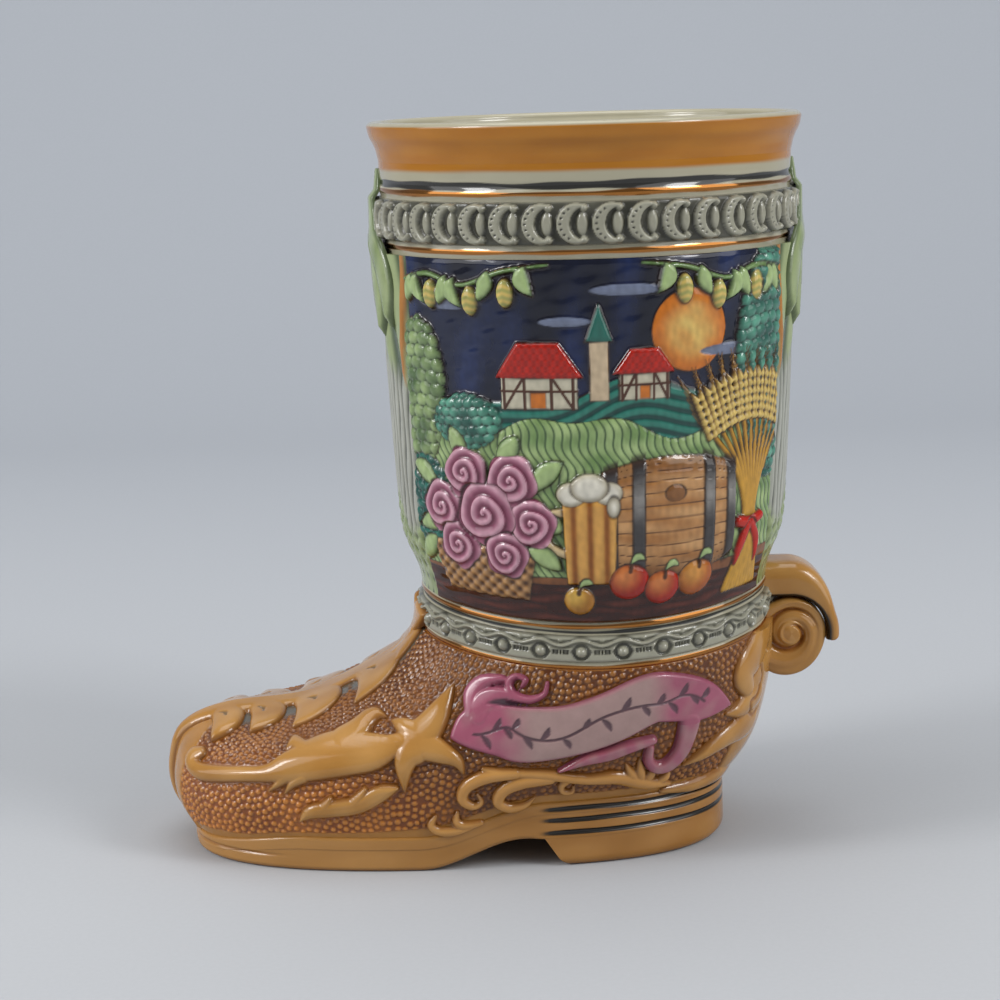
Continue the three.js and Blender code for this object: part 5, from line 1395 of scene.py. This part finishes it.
lay(block(-1.4, 98, 2.2, 110), 0.65, 0.3, mix(PLASTER, OAK_PALE, 0.4), 1.2)
lay(wedge((-2.2, 109.6), (3, 109.6), (0.4, 117)), 0.7, 0.4, mix(TEAL, TEAL_DEEP, 0.4), 1.0)
cottage(9.2, 98.0, 5.0, 5.4, 4.6)
cottage(-11.5, 96.5, 7.6, 6.4, 6.6)
near = 92.5 + 2.2 * np.sin(a / 8 + 2.2) + 1.0 * np.sin(a / 3.1) - z
blades = np.abs(np.sin(1.9 * a + 1.1 * np.sin(z * 0.8) + 0.6 * z))
lay(near, 0.6, 0.35, mix(LEAF_DEEP, mix(LEAF, LEAF_PALE, dab(a, z, 8, 4.0)), smooth(blades, 0.1, 0.6)), 2.0)
carve(near, 0.22 * blades)
foliage(oval((41, 103), (11, 24)), 0.7, TEAL_DEEP, TEAL_PALE, 2.9, 1.0)
foliage(oval((-42, 97), (9, 17), -8), 0.7, LEAF_DEEP, LEAF_PALE, 3.1, 2.0)
foliage(oval((-27.5, 93.5), (8, 5.5)), 0.8, TEAL_DEEP, TEAL_PALE, 2.3, 3.0)
foliage(oval((-40, 76), (8, 10)), 0.8, TEAL_DEEP, TEAL, 2.6, 4.0)

# The hop garland hung from the head of the picture: bines, broad leaves and pale cones.
HOP_LEAVES = ((41, 122, 1.6), (39, 122, -2.2), (31, 122, 2), (29, 121.6, -2), (21, 123, 2.2),
              (13.5, 124, -1.5))
for sign in (-1, 1):
    bine = [(sign * 44, 121), (sign * 36, 122.6), (sign * 27, 120.6), (sign * 18, 123.4), (sign * 9, 124.6)]
    fronds([stroke(bine, [0.5, 0.55, 0.5, 0.5, 0.3])], 0.8, 0.5, LEAF_DEEP, LEAF)
    leaf_strokes = []
    for x, top, lean in HOP_LEAVES:
        spine = [(sign * x, top), (sign * (x + 0.6), top - 2.4), (sign * (x + lean), top - 5.4)]
        leaf_strokes.append(stroke(spine, [0.5, 1.7, 0.15], 12))
    fronds(leaf_strokes, 0.9, 0.8, LEAF_DEEP, LEAF_PALE)
    for x, top in ((35, 121.2), (25, 120.2), (17.4, 121.8)):
        cone = oval((sign * x, top - 2.6), (1.7, 2.9))
        bract = 0.5 + 0.5 * np.sin(4.4 * (z - top) + 1.6 * np.abs(a - sign * x))
        lay(cone, 1.0, 1.0, mix(LEAF, STRAW_PALE, 0.35 + 0.6 * bract), 1.5)

# The table: a dark stained board along the foot of the picture.
board = 62.5 + 0.02 * a - z
grain = 0.5 + 0.5 * np.sin(3.1 * z + 1.6 * np.sin(a / 7) + 1.1 * np.sin(a / 2.3 + z))
lay(board, 0.9, 0.25, mix(BOARD, BOARD_PALE, grain * dab(a, 3 * z, 12, 5.0)), 0.8)
carve(board, 0.1 * grain)
lay(np.minimum(board, z - 60.9), 1.0, 0.25, mix(BOARD_PALE, OAK, 0.4), 0.5, 0.6)

# The barley sheaf: straw bound with a red band, ears of fat grains with their beards.
heads = np.linspace(-1, 1, 11)
straws = []
for k in heads:
    path = [(34.5 + 5.2 * k, 56), (34.5 + 1.6 * k, 71), (34.5 + 4.5 * k, 82),
            (34 + 10.5 * k, 93 - 3.0 * k * k)]
    straws.append(stroke(path, [0.75, 0.62, 0.6, 0.5]))
fronds(straws, 1.1, 0.7, STRAW_DEEP, STRAW)
grains, beards = [], []
for k in heads:
    root = np.array([34 + 10.5 * k, 92.5 - 3.0 * k * k])
    along = np.array([0.42 * k, 1.0]) / np.hypot(0.42 * k, 1.0)
    across = np.array([along[1], -along[0]])
    for step in range(6):
        for sign in (-1, 1):
            seed_at = root + along * 1.65 * step + across * sign * 0.62
            grains.append(stroke([seed_at, seed_at + along * 1.5 + across * sign * 0.35], [0.78, 0.3], 4))
            beards.append(stroke([seed_at, seed_at + along * 6.0 + across * sign * 1.5], [0.16, 0.08], 4))
fronds(beards, 0.9, 0.2, STRAW_DEEP, STRAW, 0.35)
fronds(grains, 1.3, 0.8, STRAW_DEEP, STRAW_PALE)
binding = stroke([(31.2, 70.6), (34.5, 70), (37.8, 70.8)], [1.3, 1.4, 1.3], 12)
fronds([binding], 1.7, 0.7, SCARLET_DEEP, SCARLET)
ties = [[(34.4, 70), (32, 65.6), (30.8, 61.4)], [(34.8, 70), (37, 66), (37.4, 61)]]
fronds([stroke(tie, [0.9, 1.2, 0.4], 12) for tie in ties], 1.6, 0.6, SCARLET_DEEP, SCARLET)

# The keg: oak staves in dark hoops, lying on the board, with its bung.
KEG_X, KEG_Z, KEG_HALF, KEG_GIRTH, KEG_TAPER = 15.0, 74.0, 14.5, 12.4, 2.6
HOOP_PLACES, HOOP_HALF_WIDTH, HOOP_RISE = (-0.9, -0.52, 0.52, 0.9), 0.085, 0.35
along = (a - KEG_X) / KEG_HALF
about = (z - KEG_Z) / (KEG_GIRTH - KEG_TAPER * along ** 2)
keg = np.minimum(1 - np.abs(along), 1 - np.abs(about)) * 9
stave = np.abs((np.arcsin(np.clip(about, -1, 1)) * 4.4) % 1 - 0.5) * 2
joint = smooth(stave, 0.86, 0.98)
oak = mix(OAK, OAK_PALE, dab(0.4 * a, 2.2 * z, 9, 6.0))
oak = mix(oak, OAK_DEEP, np.maximum(joint, 0.55 * smooth(np.abs(about), 0.55, 1.0)))
lay(keg, 0.9, 0.35, oak, 0.8)
carve(keg, 1.15 * dome(about, 1) - 0.25 * joint)
iron = mix(IRON, IRON_PALE, smooth(np.abs(about - 0.35), 0.5, 0.0))
for hoop_place in HOOP_PLACES:
    hoop = HOOP_HALF_WIDTH - np.abs(along - hoop_place - 0.02 * about ** 2)
    hoop = np.minimum(hoop, 0.13 * (1 - np.abs(about))) * KEG_HALF
    colour = mix(mix(colour, iron, smooth(hoop, -0.1, 0.1)), INK, 0.8 * smooth(np.abs(hoop), 0.3, 0.1))
    height += HOOP_RISE * smooth(hoop, -0.1, 0.3)
lay(oval((15, 79), (2.1, 1.7)), 2.0, 0.5, mix(OAK_DEEP, OAK, 0.5), 0.8)

# The glass of beer: a faceted amber mug with a loop handle and a spilling head of foam.
handle = stroke([(-6.4, 76), (-10.2, 75), (-10.6, 69.6), (-6.6, 67.2)], [0.9, 0.95, 0.95, 0.9])
fronds([handle], 1.5, 0.8, GLASS, GLASS_PALE)
mug = wedge((-6.8, 61.2), (2.8, 61.2), (3.4, 78.5), (-7.4, 78.5))
facet = np.abs(np.sin((a + 2) * 0.98))
lay(mug, 1.5, 0.7, mix(BEER, mix(FLAME, STRAW_PALE, 0.5), smooth(facet, 0.15, 0.95)), 1.6)
carve(mug, 0.3 * facet)
for centre, radii in (((-5.6, 79.6), (2.9, 2.4)), ((1.6, 79.8), (2.8, 2.3)), ((-2, 80.9), (3.7, 2.8)),
                      ((2.6, 77), (1.3, 2.2))):
    foam = oval(centre, radii)
    lay(foam, 1.9, 0.7, mix(FOAM, FOAM_PALE, smooth(foam, 0.1, 1.2)), 1.8, 0.7)

# The basket of roses: woven willow, green leaves and full pink blooms.
SPRAYS = (((-34, 72), (-43, 70)), ((-36, 80), (-43.6, 84)), ((-28, 84), (-31, 92.5)), ((-20, 84), (-16, 91)),
          ((-14, 80), (-7, 86)), ((-12, 74), (-7.6, 72)), ((-14, 68), (-8, 64)), ((-38, 68), (-43, 62)))
BLOOMS = ((-34.5, 75.5, 5.6), (-28, 83.2, 5.2), (-17.6, 82, 5.4), (-13.6, 73.4, 5.0), (-30.6, 67.6, 5.2),
          (-23.6, 75, 6.6), (-19.4, 66.6, 4.8))
basket = wedge((-36.5, 57.2), (-15.5, 57.2), (-12.8, 68), (-39.2, 68))
weave = np.sin(a * 2.1) * np.sin(z * 2.4)
lay(basket, 1.3, 0.6, mix(OAK_DEEP, OAK_PALE, 0.5 + 0.5 * weave), 1.5)
carve(basket, 0.3 * weave)
sprays = [stroke([root, 0.5 * (np.array(root) + tip) + [0, 0.6], tip], [0.7, 2.2, 0.15], 14)
          for root, tip in SPRAYS]
fronds(sprays, 1.2, 0.9, LEAF_DEEP, LEAF_PALE)


def rose(x, y, radius):
    """A full rose: petals wound from the heart, each edge standing above the next."""
    r, turn = np.hypot(a - x, z - y) / radius, np.arctan2(z - y, a - x)
    depth = radius * (1 + 0.06 * np.cos(5 * turn + x) - r)
    wound = (2.7 * r ** 0.8 + turn / (2 * np.pi) + 0.12 * np.sin(3 * turn + y) * r) % 1
    petal = smooth(wound, 0.0, 0.8) * smooth(wound, 1.0, 0.9)
    pink = mix(PETAL_DEEP, mix(PETAL, PETAL_PALE, petal ** 2), np.clip(0.12 + petal, 0, 1))
    lay(depth, 1.3, 0.9, pink, 0.6 * radius)
    carve(depth, 0.5 * petal)


for bloom in BLOOMS:
    rose(*bloom)

# Apples on the board, each with its stalk and leaf.
for x, y, radius, skin in ((5.8, 61.4, 4.1, SCARLET), (13, 59.6, 3.9, SCARLET), (20.6, 60.6, 4.2, FLAME),
                           (-4.6, 57.6, 3.2, STRAW)):
    apple = oval((x, y), (radius, 0.92 * radius))
    blush = smooth(np.hypot(a - x + 0.3 * radius, z - y - 0.35 * radius) / radius, 1.1, 0.1)
    peel = mix(mix(skin, SCARLET_DEEP, 0.45), mix(skin, STRAW_PALE, 0.35), blush)
    lay(apple, 1.3, 1.4, peel, 0.9 * radius)
    stalk = stroke([(x, y + 0.55 * radius), (x + 0.5, y + 1.25 * radius)], [0.3, 0.25], 4)
    fronds([stalk], 2.2, 0.3, OAK_DEEP, OAK_DEEP)
    leaf = stroke([(x + 0.3, y + radius), (x + 1.6, y + 1.3 * radius), (x + 3, y + 1.1 * radius)],
                  [0.2, 0.8, 0.1], 8)
    fronds([leaf], 2.0, 0.4, LEAF_DEEP, LEAF_PALE)


def spread(field, reach):
    """Average over a square of points on each side, by running sums."""
    across = 2 * reach + 1
    for axis in (0, 1):
        margins = [(reach + 1, reach) if k == axis else (0, 0) for k in (0, 1)]
        sums = np.pad(field, margins, "edge").cumsum(axis)
        ahead = np.take(sums, np.arange(across, sums.shape[axis]), axis)
        field = (ahead - np.take(sums, np.arange(sums.shape[axis] - across), axis)) / across
    return field


# Every hollow is darkened toward the ink: painted shade in the dips of the relief. The relief runs out to
# nothing at the tile's edge.
hollow = np.clip((spread(height, 4) - height) * 2.2, 0, 1)
streaks = 0.5 * dab(a, z, 2.4, 9.0) + 0.5 * dab(1.6 * a, 0.5 * z, 3.3, 8.0)
colour = mix(colour * (0.84 + 0.3 * streaks)[..., None], INK, 0.55 * hollow)
rim_gap = np.minimum(PANEL_HALF_ARC - np.abs(a), np.minimum(z - panel_low[2], panel_high[2] - z))
height = spread(height, 1) * smooth(rim_gap, -0.3, 0.9)
# Bright underglaze painting below a thick clear glaze: wet gloss, faint brush mottling.
painted_glaze = (glazed("painted_underglaze", 2.5, 0.08, 0.1, 0.05), "painted_glaze")
angle = a / PANEL_ARC_RADIUS - np.pi / 2
front = on_leg(leg_radius(z) + PANEL_SEAT + height, angle, z)
back = on_leg(leg_radius(z) - TILE_ROOT, angle, z)
half_columns = (PANEL_COLUMNS + 1) // 2
for half, first in (("toe", 0), ("heel", half_columns - 1)):
    part = (slice(None), slice(first, first + half_columns))
    for side, mirrored in (("left", False), ("right", True)):
        clay_tile(f"scene_panel_{side}_{half}", front[part], back[part], np.clip(colour[part], 0, 1), CREAM,
                  PANEL_COARSE, painted_glaze, [f"scene_panel_{side}"], mirrored)
